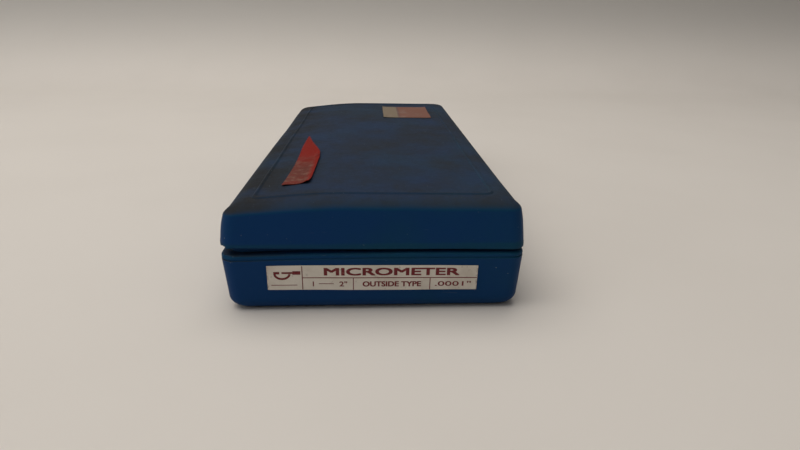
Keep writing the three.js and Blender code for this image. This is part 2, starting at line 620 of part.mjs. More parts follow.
function addFoam() {
  const bedInset = 3.6 + SOFT_GAP + 0.2;
  const bed = ringLoft([[6.7, 2 + SOFT_GAP], [5.3, 4], [bedInset, BED_TOP]]);
  const ratchetEnd = RATCHET_START + RATCHET_FLANGE + 0.3 + KNOB_LENGTH + TRAVEL;
  const { x: standardX, y: standardY } = STANDARD_PLACE;
  const { x: spannerX, y: spannerY } = SPANNER_PLACE;
  const gripReach = STANDARD_GRIP_RADIUS + POCKET_CLEARANCE;
  const standardHalf = INCH / 2 + POCKET_CLEARANCE;
  const hookReach = SLEEVE_RADIUS + 4.6 + POCKET_CLEARANCE;
  const spannerFloor = SPANNER_PLACE.z - SOFT_GAP;
  const pockets = [
    framePocket(),
    axisPocket(BARREL_BOSS_RADIUS + POCKET_CLEARANCE, -16.4, BARREL_BOSS[1] + 2, AXIS_POCKET_FLOOR),
    axisPocket(THIMBLE_RADIUS + POCKET_CLEARANCE, BARREL_BOSS[1] + 0.5, ratchetEnd + 1.5, THIMBLE_POCKET_FLOOR),
    pocket([AXIS_X, AXIS_X + 23], [ANVIL_FACE_Y - 103, ANVIL_FACE_Y - 81], THIMBLE_POCKET_FLOOR),
    pocket([standardX - gripReach, standardX + gripReach],
      [standardY - standardHalf, standardY + standardHalf], STANDARD_PLACE.z - STANDARD_GRIP_RADIUS - SOFT_GAP),
    post(7.5, standardX + 8, standardY, STANDARD_PLACE.z - 5, BED_TOP + 5, 20),
    post(hookReach, spannerX, spannerY, spannerFloor, BED_TOP + 5, 24),
    pocket([spannerX - 4.5, spannerX + 4.5],
      [spannerY - SLEEVE_RADIUS - 4.6 - SPANNER_ARM, spannerY], spannerFloor),
    post(9, spannerX, spannerY - 46, spannerFloor - 5, BED_TOP + 5, 20),
  ];
  addPart(model, "foam_bed", cut(bed, ...pockets), FOAM_GREY);
  const pad = ringLoft([[7.2, 33.4 - SOFT_GAP], [5.3, 31.8], [4, LID_PAD_BOTTOM]]);
  addPart(model, "lid_pad", pad, PAD_GREY);
}

addCase();
addLabel();
addStickers();
addFrame();
addGrips();
addAnvil();
addSpindle();
addSleeves();
addThimble();
addRatchet();
addLock();
addStandard();
addSpanner();
addFoam();

export default model;
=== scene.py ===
# %% [markdown]
# # A 1 to 2 inch outside micrometer in its plastic case
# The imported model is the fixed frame: it says how big each part is and how it moves. Everything below is made
# round it, in metres, in the same axes: +Z up, +Y along the case, +X towards the hinge. Each cell makes one
# piece or one finish, and first says what that piece is on the real tool and why it is made this way.

# %% Load the frame
import json
import math

import bmesh
import bpy
import numpy as np
from mathutils import Matrix, Vector, noise

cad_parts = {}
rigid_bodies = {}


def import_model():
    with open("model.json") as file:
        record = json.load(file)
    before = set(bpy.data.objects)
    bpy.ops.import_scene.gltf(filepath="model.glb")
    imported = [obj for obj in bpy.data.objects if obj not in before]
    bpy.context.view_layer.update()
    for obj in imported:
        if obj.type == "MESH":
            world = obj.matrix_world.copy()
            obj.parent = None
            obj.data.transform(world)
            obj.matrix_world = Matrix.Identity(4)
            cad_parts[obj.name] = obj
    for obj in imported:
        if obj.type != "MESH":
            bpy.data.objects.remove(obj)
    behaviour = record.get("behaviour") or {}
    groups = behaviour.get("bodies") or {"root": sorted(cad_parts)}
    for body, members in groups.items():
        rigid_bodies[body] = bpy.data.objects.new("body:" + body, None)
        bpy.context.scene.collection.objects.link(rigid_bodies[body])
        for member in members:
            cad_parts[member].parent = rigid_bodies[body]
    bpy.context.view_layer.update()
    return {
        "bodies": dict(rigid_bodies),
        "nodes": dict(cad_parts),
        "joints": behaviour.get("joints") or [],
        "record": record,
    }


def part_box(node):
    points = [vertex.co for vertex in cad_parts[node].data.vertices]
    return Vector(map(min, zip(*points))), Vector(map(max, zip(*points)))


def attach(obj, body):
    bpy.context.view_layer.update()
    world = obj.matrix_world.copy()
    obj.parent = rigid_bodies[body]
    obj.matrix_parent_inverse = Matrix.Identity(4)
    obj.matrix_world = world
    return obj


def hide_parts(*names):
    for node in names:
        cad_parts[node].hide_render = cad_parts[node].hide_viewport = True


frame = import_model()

MM = 0.001

# %% [markdown]
# ## Camera
# The case is looked at from just above its labelled end, close up and with a wide lens, as by somebody who
# leans over a table. The near end looks large and the far end shrinks quickly.
# A camera is placed by its distance from the near end, its height, and three turns: yaw, pitch and roll.

# %% Place the camera
CASE_LOW, CASE_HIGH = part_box("case_lid")
CASE_END = CASE_LOW.y
CAMERA_BACK = 0.1538
CAMERA_HEIGHT = 0.0872
CAMERA_SIDE = -0.0006
CAMERA_YAW = math.radians(3.10)
CAMERA_PITCH = math.radians(20.67)
CAMERA_ROLL = math.radians(0.73)
LENS = 24.75

camera_data = bpy.data.cameras.new("camera")
camera_data.lens = LENS
camera_data.sensor_width = 36
camera_data.clip_start = 0.01
camera = bpy.data.objects.new("camera", camera_data)
turns = (Matrix.Rotation(-CAMERA_YAW, 4, "Z")
         @ Matrix.Rotation(math.pi / 2 - CAMERA_PITCH, 4, "X")
         @ Matrix.Rotation(CAMERA_ROLL, 4, "Z"))
camera.matrix_world = Matrix.Translation((CAMERA_SIDE, CASE_END - CAMERA_BACK, CAMERA_HEIGHT)) @ turns
bpy.context.scene.collection.objects.link(camera)
bpy.context.scene.camera = camera

# %% [markdown]
# ## Shader sums in plain Python
# A finish is a small network of nodes. Written out node by node it is hard to read, so one class wraps a
# socket and lets it be added, multiplied and so on: each operator adds a Math node. Any other node comes from
# one method that takes its type, its settings and what goes into its sockets.

# %% Socket and finish classes
class Value:
    """One output socket, which can be used in sums."""

    def __init__(self, finish, socket):
        self.finish = finish
        self.socket = socket

    def math(self, operation, *others, clamp=False):
        settings = {"operation": operation, "use_clamp": clamp}
        return self.finish.node("Math", settings, [self, *others])

    def __add__(self, other):
        return self.math("ADD", other)

    __radd__ = __add__

    def __mul__(self, other):
        return self.math("MULTIPLY", other)

    __rmul__ = __mul__

    def __sub__(self, other):
        return self.math("SUBTRACT", other)

    def __rsub__(self, other):
        return self.finish.node("Math", {"operation": "SUBTRACT"}, [other, self])

    def __truediv__(self, other):
        return self.math("DIVIDE", other)

    def __abs__(self):
        return self.math("ABSOLUTE")

    def clamp(self):
        return self.math("ADD", 0.0, clamp=True)

    def step(self, low, high):
        """0 below low, 1 above high, smooth between. With low above high it falls instead."""
        settings = {"interpolation_type": "SMOOTHSTEP"}
        if low < high:
            return self.finish.node("MapRange", settings, [self, low, high, 0.0, 1.0])
        return 1 - self.finish.node("MapRange", settings, [self, high, low, 0.0, 1.0])

    def band(self, low, high, soft):
        """1 between low and high, with soft edges."""
        return self.step(low - soft, low) * self.step(high + soft, high)


class Finish:
    """A material and its nodes. at is the place on the piece in millimetres."""

    def __init__(self, name):
        self.material = bpy.data.materials.new(name)
        self.material.use_nodes = True
        self.tree = self.material.node_tree
        self.tree.nodes.clear()
        coordinates = self.tree.nodes.new("ShaderNodeTexCoord")
        place = Value(self, coordinates.outputs["Object"])
        self.facing = Value(self, coordinates.outputs["Normal"])
        self.at = self.node("VectorMath", {"operation": "MULTIPLY"}, [place, (1 / MM,) * 3])

    def node(self, kind, settings=None, inputs=None, output=0):
        made = self.tree.nodes.new("ShaderNode" + kind)
        for key, value in (settings or {}).items():
            setattr(made, key, value)
        pairs = inputs.items() if isinstance(inputs, dict) else enumerate(inputs or [])
        for key, value in pairs:
            if isinstance(value, Value):
                self.tree.links.new(value.socket, made.inputs[key])
            else:
                made.inputs[key].default_value = value
        return Value(self, made.outputs[output])

    def axes(self, vector=None):
        split = self.node("SeparateXYZ", None, [vector or self.at])
        node = split.socket.node
        return [Value(self, socket) for socket in node.outputs]

    def noise(self, size, detail=3.0, rough=0.5, stretch=(1, 1, 1), shift=0.0):
        """Cloudy noise from 0 to 1 whose blotches are about size millimetres across."""
        scaled = tuple(value / size for value in stretch)
        place = self.node("VectorMath", {"operation": "MULTIPLY_ADD"}, [self.at, scaled, (shift,) * 3])
        inputs = {"Vector": place, "Scale": 1.0, "Detail": detail, "Roughness": rough}
        return self.node("TexNoise", None, inputs)

    def mix(self, factor, first, second):
        inputs = {0: factor, 6: self.colour(first), 7: self.colour(second)}
        return self.node("Mix", {"data_type": "RGBA"}, inputs, output=2)

    @staticmethod
    def colour(value):
        return value if isinstance(value, Value) else (*value, 1.0)

    def bump(self, height, distance, below=None):
        """Relief of some millimetres from a height of 0 to 1, on top of the relief below."""
        inputs = {"Strength": 1.0, "Distance": distance * MM, "Height": height}
        if below is not None:
            inputs["Normal"] = below
        return self.node("Bump", None, inputs)

    def shade(self, **sockets):
        names = {key.replace("_", " ").title().replace("Ior", "IOR"): value for key, value in sockets.items()}
        for key, value in names.items():
            if isinstance(value, tuple) and len(value) == 3 and "Color" in key:
                names[key] = (*value, 1.0)
        shader = self.node("BsdfPrincipled", None, names)
        output = self.tree.nodes.new("ShaderNodeOutputMaterial")
        self.tree.links.new(shader.socket, output.inputs["Surface"])
        return self.material

# %% [markdown]
# ## Tools for making pieces
# Most pieces here are lofts, lathe-turned bodies or flat plates with softened edges. Moulded, cast and ground
# parts never have a perfectly sharp corner, so one helper rounds the corners of any outline. Outlines and
# profiles are written in millimetres, and a mesh becomes metres only when it is made.

# %% Outlines with rounded corners
def rounded(points, radius, steps=3, closed=False):
    """The chain of points with arcs at its corners. A point's third number is its own radius."""
    result = []
    count = len(points)
    for i, (x, y, *own) in enumerate(points):
        here = Vector((x, y))
        reach = own[0] if own else radius
        is_end = not closed and i in (0, count - 1)
        if is_end or reach == 0:
            result.append((x, y))
            continue
        back = Vector(points[i - 1][:2]) - here
        ahead = Vector(points[(i + 1) % count][:2]) - here
        bend = math.pi - back.angle(ahead)
        trim = min(reach * math.tan(bend / 2), 0.45 * back.length, 0.45 * ahead.length)
        start = here + back.normalized() * trim
        end = here + ahead.normalized() * trim
        for k in range(steps + 1):
            t = k / steps
            point = start * (1 - t) ** 2 + here * 2 * t * (1 - t) + end * t ** 2
            result.append(tuple(point))
    return result


def arc(centre, radius, start, end, steps):
    """Points on an arc. Angles are in degrees, and radius is one number or one for each axis."""
    radius_x, radius_y = radius if isinstance(radius, tuple) else (radius, radius)
    angles = [math.radians(start + (end - start) * i / steps) for i in range(steps + 1)]
    return [(centre[0] + radius_x * math.cos(a), centre[1] + radius_y * math.sin(a)) for a in angles]


# %% Meshes from points
def new_piece(name, points, faces):
    """An object from points in millimetres, with its faces pointing out."""
    mesh = bpy.data.meshes.new(name)
    mesh.from_pydata([tuple(value * MM for value in point) for point in points], [], faces)
    body = bmesh.new()
    body.from_mesh(mesh)
    bmesh.ops.remove_doubles(body, verts=body.verts, dist=1e-7)
    bmesh.ops.recalc_face_normals(body, faces=body.faces)
    body.to_mesh(mesh)
    body.free()
    piece = bpy.data.objects.new(name, mesh)
    bpy.context.scene.collection.objects.link(piece)
    return piece


def apply_modifiers(piece):
    bpy.context.view_layer.update()
    shape = piece.evaluated_get(bpy.context.evaluated_depsgraph_get())
    plain = piece.data
    piece.data = bpy.data.meshes.new_from_object(shape)
    piece.modifiers.clear()
    bpy.data.meshes.remove(plain)


def combine(piece, operation, tools):
    """Joins the tools to the piece (UNION) or cuts them out of it (DIFFERENCE), and uses them up."""
    group = bpy.data.collections.new("tools")
    for tool in tools:
        group.objects.link(tool)
    modifier = piece.modifiers.new("combine", "BOOLEAN")
    modifier.operation = operation
    modifier.operand_type = "COLLECTION"
    modifier.collection = group
    apply_modifiers(piece)
    for tool in tools:
        bpy.data.objects.remove(tool)
    bpy.data.collections.remove(group)


def bend(piece, rule):
    """Moves each point of a mesh by a rule that takes and gives x, y and z in millimetres."""
    for vertex in piece.data.vertices:
        vertex.co = Vector(rule(*(vertex.co / MM))) * MM


def soften(piece, face_size, rounds):
    """Remeshes a piece into small even faces and smooths it, which rounds every edge and inside corner."""
    remesh = piece.modifiers.new("even_faces", "REMESH")
    remesh.mode = "VOXEL"
    remesh.voxel_size = face_size * MM
    smoothing = piece.modifiers.new("soften", "SMOOTH")
    smoothing.iterations = rounds
    apply_modifiers(piece)


def smooth(piece, angle=32, flat_faces=False):
    """Smooth shading that leaves edges sharper than angle. flat_faces keeps big flat faces looking flat."""
    piece.data.shade_smooth()
    piece.data.set_sharp_from_angle(angle=math.radians(angle))
    if flat_faces:
        weighted = piece.modifiers.new("flat_faces", "WEIGHTED_NORMAL")
        weighted.keep_sharp = True
        apply_modifiers(piece)


def hand_over(piece, body, slot, material, *nodes):
    """Gives a piece its finish and the body it rides on, and hides the CAD nodes it stands for. slot is not
    used.
    """
    piece.data.materials.clear()
    piece.data.materials.append(material)
    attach(piece, body)
    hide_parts(*nodes)
    corners = [piece.matrix_world @ Vector(corner) / MM for corner in piece.bound_box]
    spans = [max(c[i] for c in corners) - min(c[i] for c in corners) for i in range(3)]
    print(f"{piece.name}: {' x '.join(f'{span:.1f}' for span in spans)} mm, {len(piece.data.polygons)} faces")


# %% Basic bodies
def skin_faces(ring_count, count):
    """Faces between rings of count points each, where every ring follows the one before."""
    faces = []
    for first in range(0, (ring_count - 1) * count, count):
        for i in range(count):
            j = (i + 1) % count
            faces.append((first + i, first + j, first + count + j, first + count + i))
    return faces


def loft(name, rings):
    """A skin through rings of points, with a cap at each end."""
    count = len(rings[0])
    points = [point for ring in rings for point in ring]
    caps = [tuple(range(count)), tuple(range(len(points) - count, len(points)))]
    return new_piece(name, points, skin_faces(len(rings), count) + caps)


def grid_faces(columns, rows):
    stride = columns + 1
    corners = [j * stride + i for j in range(rows) for i in range(columns)]
    return [(a, a + 1, a + stride + 1, a + stride) for a in corners]


def grid_border(columns, rows):
    """The points round a grid, in order."""
    stride = columns + 1
    near = list(range(columns))
    right = [columns + j * stride for j in range(rows)]
    far = [rows * stride + columns - i for i in range(columns)]
    left = [(rows - j) * stride for j in range(rows)]
    return near + right + far + left


def shrunk(outline, inset):
    """A closed outline, each point moved in along its own corner's middle."""
    count = len(outline)
    area = sum(outline[i - 1][0] * outline[i][1] - outline[i][0] * outline[i - 1][1] for i in range(count))
    turn = 1 if area > 0 else -1
    result = []
    for i, (x, y) in enumerate(outline):
        before, after = Vector(outline[i - 1]), Vector(outline[(i + 1) % count])
        along = (after - before).normalized()
        result.append((x - turn * along.y * inset, y + turn * along.x * inset))
    return result


def plate(name, outline, low, high, edge=0.0):
    """A flat body between two heights, with its edges rounded by edge millimetres."""
    if edge == 0:
        return loft(name, [[(x, y, z) for x, y in outline] for z in (low, high)])
    levels = [(edge * (1 - math.sin(a)), edge * (1 - math.cos(a))) for a in np.linspace(0, math.pi / 2, 4)]
    side = [(inset, low + rise) for inset, rise in levels]
    side += [(inset, high - rise) for inset, rise in levels[::-1]]
    return loft(name, [[(x, y, z) for x, y in shrunk(outline, inset)] for inset, z in side])


def block(name, low, high, edge=0.0):
    outline = [(low[0], low[1]), (high[0], low[1]), (high[0], high[1]), (low[0], high[1])]
    return plate(name, rounded(outline, edge, closed=True), low[2], high[2], edge * 0.5)


def post(name, radius, x, y, low, high, steps=32):
    return plate(name, arc((x, y), radius, 0, 360 * (1 - 1 / steps), steps - 1), low, high)


def rod_profile(radius, start, end, edge=0.0, steps=3):
    """The profile of a plain rod between two places, as (radius, place) points from its middle line."""
    return rounded([(0, start), (radius, start), (radius, end), (0, end)], edge, steps)


# %% [markdown]
# ## Case shells
# The case is two trays, moulded in one blue plastic, that meet rim to rim. A tray could be a cube with its
# edges bevelled, but the walls lean, the base's rim bulges and the corners get tighter towards the inside. So
# each shell is a loft: one profile of inset and height, run round a rectangle with rounded corners. The
# rings go on across the panel, because the plastic has warped and a single flat face couldn't bend.

# %% Sizes of the case
HINGE_REACH = 3.1
KNUCKLE_RADIUS = 2.2
CASE_LENGTH = (CASE_HIGH.y - CASE_LOW.y) / MM
CASE_WIDTH = 2 * (-CASE_LOW.x / MM - HINGE_REACH)
CASE_HEIGHT = CASE_HIGH.z / MM
BEAD_HEIGHT = 0.5
PANEL_Z = CASE_HEIGHT - BEAD_HEIGHT
PARTING_Z = 19.9
BASE_RIM = PARTING_Z - 0.2
LID_RIM = PARTING_Z + 0.2
BED_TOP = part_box("foam_bed")[1].z / MM
CORNER_RADIUS = 4.6
CORNER_SHRINK = 0.18
CORNER_STEPS = 8
SHORT_STEPS = 28
LONG_STEPS = 56
print("case:", round(CASE_LENGTH), "x", round(CASE_WIDTH), "x", round(CASE_HEIGHT), "mm")


# %% Rings round the case
def outline_ring(inset, z):
    half_x, half_y = CASE_WIDTH / 2 - inset, CASE_LENGTH / 2 - inset
    radius = max(CORNER_RADIUS - CORNER_SHRINK * inset, 0.4)
    corners = []
    for quarter, (side_x, side_y) in enumerate([(1, 1), (-1, 1), (-1, -1), (1, -1)]):
        centre = (side_x * (half_x - radius), side_y * (half_y - radius))
        corners.append(arc(centre, radius, 90 * quarter, 90 * quarter + 90, CORNER_STEPS))
    ring = []
    for quarter, corner in enumerate(corners):
        ring += corner
        start, end = Vector(corner[-1]), Vector(corners[(quarter + 1) % 4][0])
        steps = LONG_STEPS if quarter % 2 else SHORT_STEPS
        ring += [tuple(start.lerp(end, i / steps)) for i in range(1, steps)]
    return [(x, y, z) for x, y in ring]


def closing_faces(first, count):
    """Faces that close a ring from its far end to its near end, in strips across."""
    middle = CORNER_STEPS + SHORT_STEPS // 2
    faces = []
    for k in range(count // 2):
        strip = [middle - k, middle + k, middle + k + 1, middle - k - 1]
        corners = [first + i % count for i in strip]
        faces.append(tuple(dict.fromkeys(corners)))
    return faces


def shell(name, profile):
    rings = [outline_ring(inset, z) for inset, z in profile]
    count = len(rings[0])
    points = [point for ring in rings for point in ring]
    faces = closing_faces(0, count) + closing_faces(len(points) - count, count)
    return new_piece(name, points, faces + skin_faces(len(rings), count))


def across(z, inner, outer=46.4, steps=9):
    """Profile points over a panel, from the middle of the case out to inner."""
    return [(outer + (inner - outer) * i / steps, z) for i in range(steps)]


def wall(low, high, steps=4):
    return [tuple(Vector(low).lerp(Vector(high), i / steps)) for i in range(steps + 1)]


# %% Profiles of the two shells
WALL_FOOT = (0.9, 4.6)
WALL_HEAD = (0.05, 17.6)
SHOULDER_FOOT = (1.0, 32.2)
SHOULDER_REACH = 5.5
FOOT_RECESS = 0.5
FOOT_REACH = 4.5
TONGUE_TOP = 21.6
LID_CEILING = 33.4

base_feet = rounded([(14, FOOT_RECESS), (10.2, FOOT_RECESS), (9.6, 0), (6.6, 0)], 0.3, 4)
base_corner = arc((WALL_FOOT[0] + FOOT_REACH, WALL_FOOT[1]), (FOOT_REACH, WALL_FOOT[1]), 270, 180, 10)
base_rim = rounded([WALL_HEAD, (0.4, 17.85, 0.3), (0.05, 18.3), (0.2, 19.1), (0.8, 19.5), (1.9, BASE_RIM),
                    (2.7, BASE_RIM, 0.2), (2.7, TONGUE_TOP), (3.5, TONGUE_TOP), (3.6, BED_TOP)], 0.4, 4)
base_inside = rounded([(3.6, BED_TOP - 1), (4.7, 2, 2.5), (8, 2)], 0.4, 4)
base_wall = wall(WALL_FOOT, WALL_HEAD)[1:-1]
BASE_PROFILE = (across(FOOT_RECESS, 14) + base_feet + base_corner + base_wall + base_rim
                + base_inside + across(2, 8)[::-1])

lid_bead = rounded([(10.6, PANEL_Z), (10, PANEL_Z), (9.4, CASE_HEIGHT), (8.9, CASE_HEIGHT), (8.4, PANEL_Z),
                    (7.6, PANEL_Z)], 0.35, 6)
lid_shoulder = arc((SHOULDER_FOOT[0] + SHOULDER_REACH, SHOULDER_FOOT[1]),
                   (SHOULDER_REACH, PANEL_Z - SHOULDER_FOOT[1]), 90, 180, 12)
lid_rim = rounded([(0.3, 24.6), (0.15, 22.6), (0, 21.2), (0, LID_RIM, 0.06), (2.35, LID_RIM, 0.1),
                   (2.6, 24)], 0.3, 4)
lid_inside = rounded([(3.3, 31), (4.8, LID_CEILING, 2), (8, LID_CEILING)], 0.4, 4)
lid_wall = wall(SHOULDER_FOOT, lid_rim[0])[1:-1]
LID_PROFILE = (across(PANEL_Z, 10.6) + lid_bead + lid_shoulder + lid_wall + lid_rim
               + lid_inside + across(LID_CEILING, 8)[::-1])
print("profile points:", len(BASE_PROFILE), "base,", len(LID_PROFILE), "lid")


# %% [markdown]
# ## How the plastic has warped
# An old tray like this one is never quite flat. The lid rides a little high on the thumb side and the base's
# rim dips there, so the gap between them opens towards that side. The panel has sunk along one edge and
# stands proud in the middle of the near end. A lattice could bend the shells, but a short rule in code can
# also carry the stickers and the label along, so that they stay on the plastic. The small wander is noise,
# and its seed is set here, because an unset seed follows the clock and bends the case differently each time.

# %% Warp rules
WANDER_SEED = 5
noise.seed_set(WANDER_SEED)


def ease(value, low, high):
    share = min(max((value - low) / (high - low), 0.0), 1.0)
    return share * share * (3 - 2 * share)


def ripple(x, y, z, size, amount):
    """A small smooth wander, the same for anything at the same place."""
    return noise.noise_vector(Vector((x, y, z)) / size) * amount


LID_LIFT = 1.2
CROWN = 0.8
NEAR_SAG = 1.7
FAR_SAG = 2.7
RIM_DIP = 0.4
HINGE_HALF = 66


def clear_of_hinge(x, y):
    """0 along the hinge, so that its barrels stay true, and 1 on the thumb side and at both ends."""
    return max(ease(CASE_WIDTH / 2 - x, 0, 12), ease(abs(y), HINGE_HALF, HINGE_HALF + 26))


def torn(x, y, z, rim):
    """Ragged plastic at the near corner on the thumb side, where both rims have been torn."""
    corner = ease(-x, 41, 46) * ease(-y, 99, 103) * (1 - ease(abs(z - rim), 0.4, 1.6))
    return ripple(x, y, z, 1.4, 1.0) * corner


def lid_warp(x, y, z):
    towards_thumb = 0.5 - x / CASE_WIDTH
    far = 0.5 + y / CASE_LENGTH
    rise = ease(z, LID_RIM, PANEL_Z)
    crown = CROWN * math.exp(-((x + 12) / 34) ** 2) * (1 - 0.6 * far)
    sag = (NEAR_SAG + (FAR_SAG - NEAR_SAG) * far) * ease(-x, 8, 50)
    top = crown - sag
    rim = 0.6 + LID_LIFT * towards_thumb * (1 - 0.5 * far)
    lean = (1.3 - 0.9 * far) * ease(abs(x), 30, 46) * ease(z, 28, 35) * ease(y, -104, -94)
    wander = ripple(x, y, z, 42, 0.22) + ripple(x, y, z, 13, 0.07)
    hold = clear_of_hinge(x, y)
    moved = Vector((x, y, z)) + wander * hold + torn(x, y, z, LID_RIM)
    moved.x -= math.copysign(lean, x)
    moved.z += hold * (rim + (top - rim) * rise)
    return moved


def base_warp(x, y, z):
    towards_thumb = 0.5 - x / CASE_WIDTH
    near = 1 - ease(y, -104, -40)
    rise = ease(z, 3, BASE_RIM)
    crest = 0.2 + 0.3 * math.exp(-(x / 26) ** 2)
    dip = RIM_DIP * ease(towards_thumb, 0.62, 1.0)
    wander = ripple(x, y, z + 50, 42, 0.2) + ripple(x, y, z + 50, 13, 0.06)
    hold = clear_of_hinge(x, y) * ease(z, 0, 4)
    moved = Vector((x, y, z)) + wander * hold + torn(x, y, z, BASE_RIM)
    moved.z += hold * rise * near * (crest - dip)
    return moved


# %% [markdown]
# ## Blue plastic
# The case is a soft, slightly waxy moulded plastic. It is deep blue where it is clean, with teal blotches from
# wear, and greyed by years of workshop dust on top. Along the rims and on the sloping shoulders the teal is a
# painted highlight. The finish mixes these by where they belong: dust by how much a face looks up, painted
# highlight by height at the rims and by slope, and wear blotches by noise. Pecks and scratches show paler,
# because scuffed plastic scatters light.

# %% Plastic finish
CLEAN_BLUE = (0.0045, 0.038, 0.130)
TEAL_HIGHLIGHT_AND_WEAR = (0.006, 0.052, 0.092)
DUST = (0.024, 0.029, 0.036)
GRIME = (0.020, 0.020, 0.018)
SCUFF = (0.15, 0.19, 0.22)
PANEL_GRIME_SIDE = (-20, -40)


def case_finish(name, rim_low, rim_high, rim_highlight):
    finish = Finish(name)
    x, _, z = finish.axes()
    up = finish.axes(finish.facing)[2]
    cloud = finish.noise(45, 4, 0.6)
    blotch = finish.noise(24, 5, 0.62, shift=7)
    fine = finish.noise(1.6, 4, 0.6, shift=3)
    # Painted highlight: the rims (by height) and the sloping shoulders (by slope) are tinted teal. The cloud
    # adds teal wear blotches.
    rim = z.band(rim_low, rim_high, 0.9)
    shoulder = up.band(0.3, 0.85, 0.2)
    wear_and_highlight = (rim * rim_highlight + shoulder * 0.5 + cloud.step(0.42, 0.72) * 0.6).clamp() * (0.6 + 0.4 * fine)
    plastic = finish.mix(wear_and_highlight, CLEAN_BLUE, TEAL_HIGHLIGHT_AND_WEAR)
    dusty = up.step(0.3, 0.92) * z.step(24, 30) * (0.6 + 0.35 * blotch.step(0.3, 0.72)) * (0.8 + 0.4 * fine)
    dusted = finish.mix(dusty.clamp(), plastic, DUST)
    thumbed = x.step(*PANEL_GRIME_SIDE) * blotch.step(0.25, 0.6) * 0.7
    dirty = up.step(0.4, 0.98) * (finish.noise(30, 5, 0.65, shift=21).step(0.52, 0.78) * 0.6 + thumbed)
    grimed = finish.mix(dirty.clamp(), dusted, GRIME)
    scratch = finish.noise(1.3, 3, 0.7, stretch=(0.06, 1, 1), shift=11).step(0.70, 0.76)
    scratch_along = finish.noise(1.3, 3, 0.7, stretch=(1, 0.05, 1), shift=31).step(0.71, 0.77)
    peck = finish.noise(1.1, 2, 0.5, shift=17).step(0.735, 0.78)
    marks = ((scratch + scratch_along) * 0.35 + peck * 0.8).clamp() * blotch.step(0.35, 0.6)
    foot = z.step(2.6, 1.0) * finish.noise(3, 4, 0.7, stretch=(0.4, 1, 1), shift=41).step(0.6, 0.72)
    marks = (marks + foot * 0.6).clamp()
    colour = finish.mix(marks, grimed, SCUFF)
    peel = finish.noise(0.55, 3, 0.6)
    relief = finish.bump(peel, 0.018)
    relief = finish.bump(marks, -0.05, below=relief)
    roughness = 0.4 + 0.3 * dusty.clamp() + 0.12 * fine + 0.25 * marks
    return finish.shade(base_color=colour, roughness=roughness, normal=relief, specular_ior_level=0.06)


BASE_PLASTIC = case_finish("case_base_plastic", 18.0, BASE_RIM, 0.3)
LID_PLASTIC = case_finish("case_lid_plastic", LID_RIM, 22.6, 0.7)

# %% [markdown]
# ## Hinge and thumb tabs
# A case of this kind has its hinge along one long side: barrels moulded on each shell in turn, with a steel
# pin through them. On the other side two thin tabs lie one over the other, for the thumb to part. They are
# joined to the shells by boolean modifiers, which also cut the room that the other shell's barrels turn in.

# %% Knuckles and tabs
HINGE_X = CASE_WIDTH / 2 + HINGE_REACH - KNUCKLE_RADIUS
KNUCKLE_LENGTH = 18
KNUCKLE_COUNT = 7
KNUCKLE_GAP = 0.4
KNUCKLE_CLEARANCE = 0.3
PIN_BORE = 1.18
RIM_THICKNESS = 2.2
TAB_HALF = 12
TAB_THICKNESS = 2.2

pitch = KNUCKLE_LENGTH + KNUCKLE_GAP
hinge_start = -(KNUCKLE_COUNT * pitch - KNUCKLE_GAP) / 2
KNUCKLES = [(hinge_start + i * pitch, hinge_start + i * pitch + KNUCKLE_LENGTH) for i in range(KNUCKLE_COUNT)]


def hinge_rod(name, radius, start, end, edge=0.0):
    rings = []
    for r, y in rod_profile(radius, start, end, edge)[1:-1]:
        circle = arc((HINGE_X, PARTING_Z), r, 0, 345, 23)
        rings.append([(x, y, z) for x, z in circle])
    return loft(name, rings)


def add_knuckles(piece, own, others, side):
    reach = KNUCKLE_RADIUS + KNUCKLE_CLEARANCE
    reliefs = [hinge_rod("relief", reach, start - KNUCKLE_GAP, end + KNUCKLE_GAP) for start, end in others]
    combine(piece, "DIFFERENCE", reliefs)
    rim = PARTING_Z + side * 0.2
    outside = PARTING_Z + side * (KNUCKLE_RADIUS - 0.1)
    inner = CASE_WIDTH / 2 - RIM_THICKNESS
    barrels = [hinge_rod("barrel", KNUCKLE_RADIUS, start, end, 0.3) for start, end in own]
    webs = [block("web", (inner, start + 0.15, min(rim, outside)), (HINGE_X, end - 0.15, max(rim, outside)))
            for start, end in own]
    combine(piece, "UNION", barrels + webs)
    combine(piece, "DIFFERENCE", [hinge_rod("bore", PIN_BORE, -CASE_LENGTH / 2, CASE_LENGTH / 2)])


def thumb_tab(low, high, ribs_at):
    outer, inner = CASE_WIDTH / 2 + HINGE_REACH, CASE_WIDTH / 2 - RIM_THICKNESS
    corners = [(-inner, -TAB_HALF), (-inner, TAB_HALF), (-outer, TAB_HALF, 3.5), (-outer, -TAB_HALF, 3.5)]
    tab = plate("tab", rounded(corners, 0, 6, closed=True), low, high, 0.35)
    ribs = [block("rib", (-outer + 0.7, y - 0.45, ribs_at - 0.3), (-inner - 1, y + 0.45, ribs_at + 0.3), 0.2)
            for y in (-6, -3, 0, 3, 6)]
    return [tab] + ribs


def make_base():
    piece = shell("base_shell", BASE_PROFILE)
    combine(piece, "UNION", thumb_tab(BASE_RIM - TAB_THICKNESS, BASE_RIM - 0.1, BASE_RIM - TAB_THICKNESS))
    add_knuckles(piece, KNUCKLES[0::2], KNUCKLES[1::2], -1)
    bend(piece, base_warp)
    smooth(piece, 40)
    hand_over(piece, "case", "case_plastic", BASE_PLASTIC, "case_base")


def make_lid():
    piece = shell("lid_shell", LID_PROFILE)
    combine(piece, "UNION", thumb_tab(LID_RIM + 0.1, LID_RIM + TAB_THICKNESS, LID_RIM + TAB_THICKNESS))
    add_knuckles(piece, KNUCKLES[1::2], KNUCKLES[0::2], 1)
    bend(piece, lid_warp)
    smooth(piece, 40)
    hand_over(piece, "lid", "case_plastic", LID_PLASTIC, "case_lid")


make_base()
make_lid()

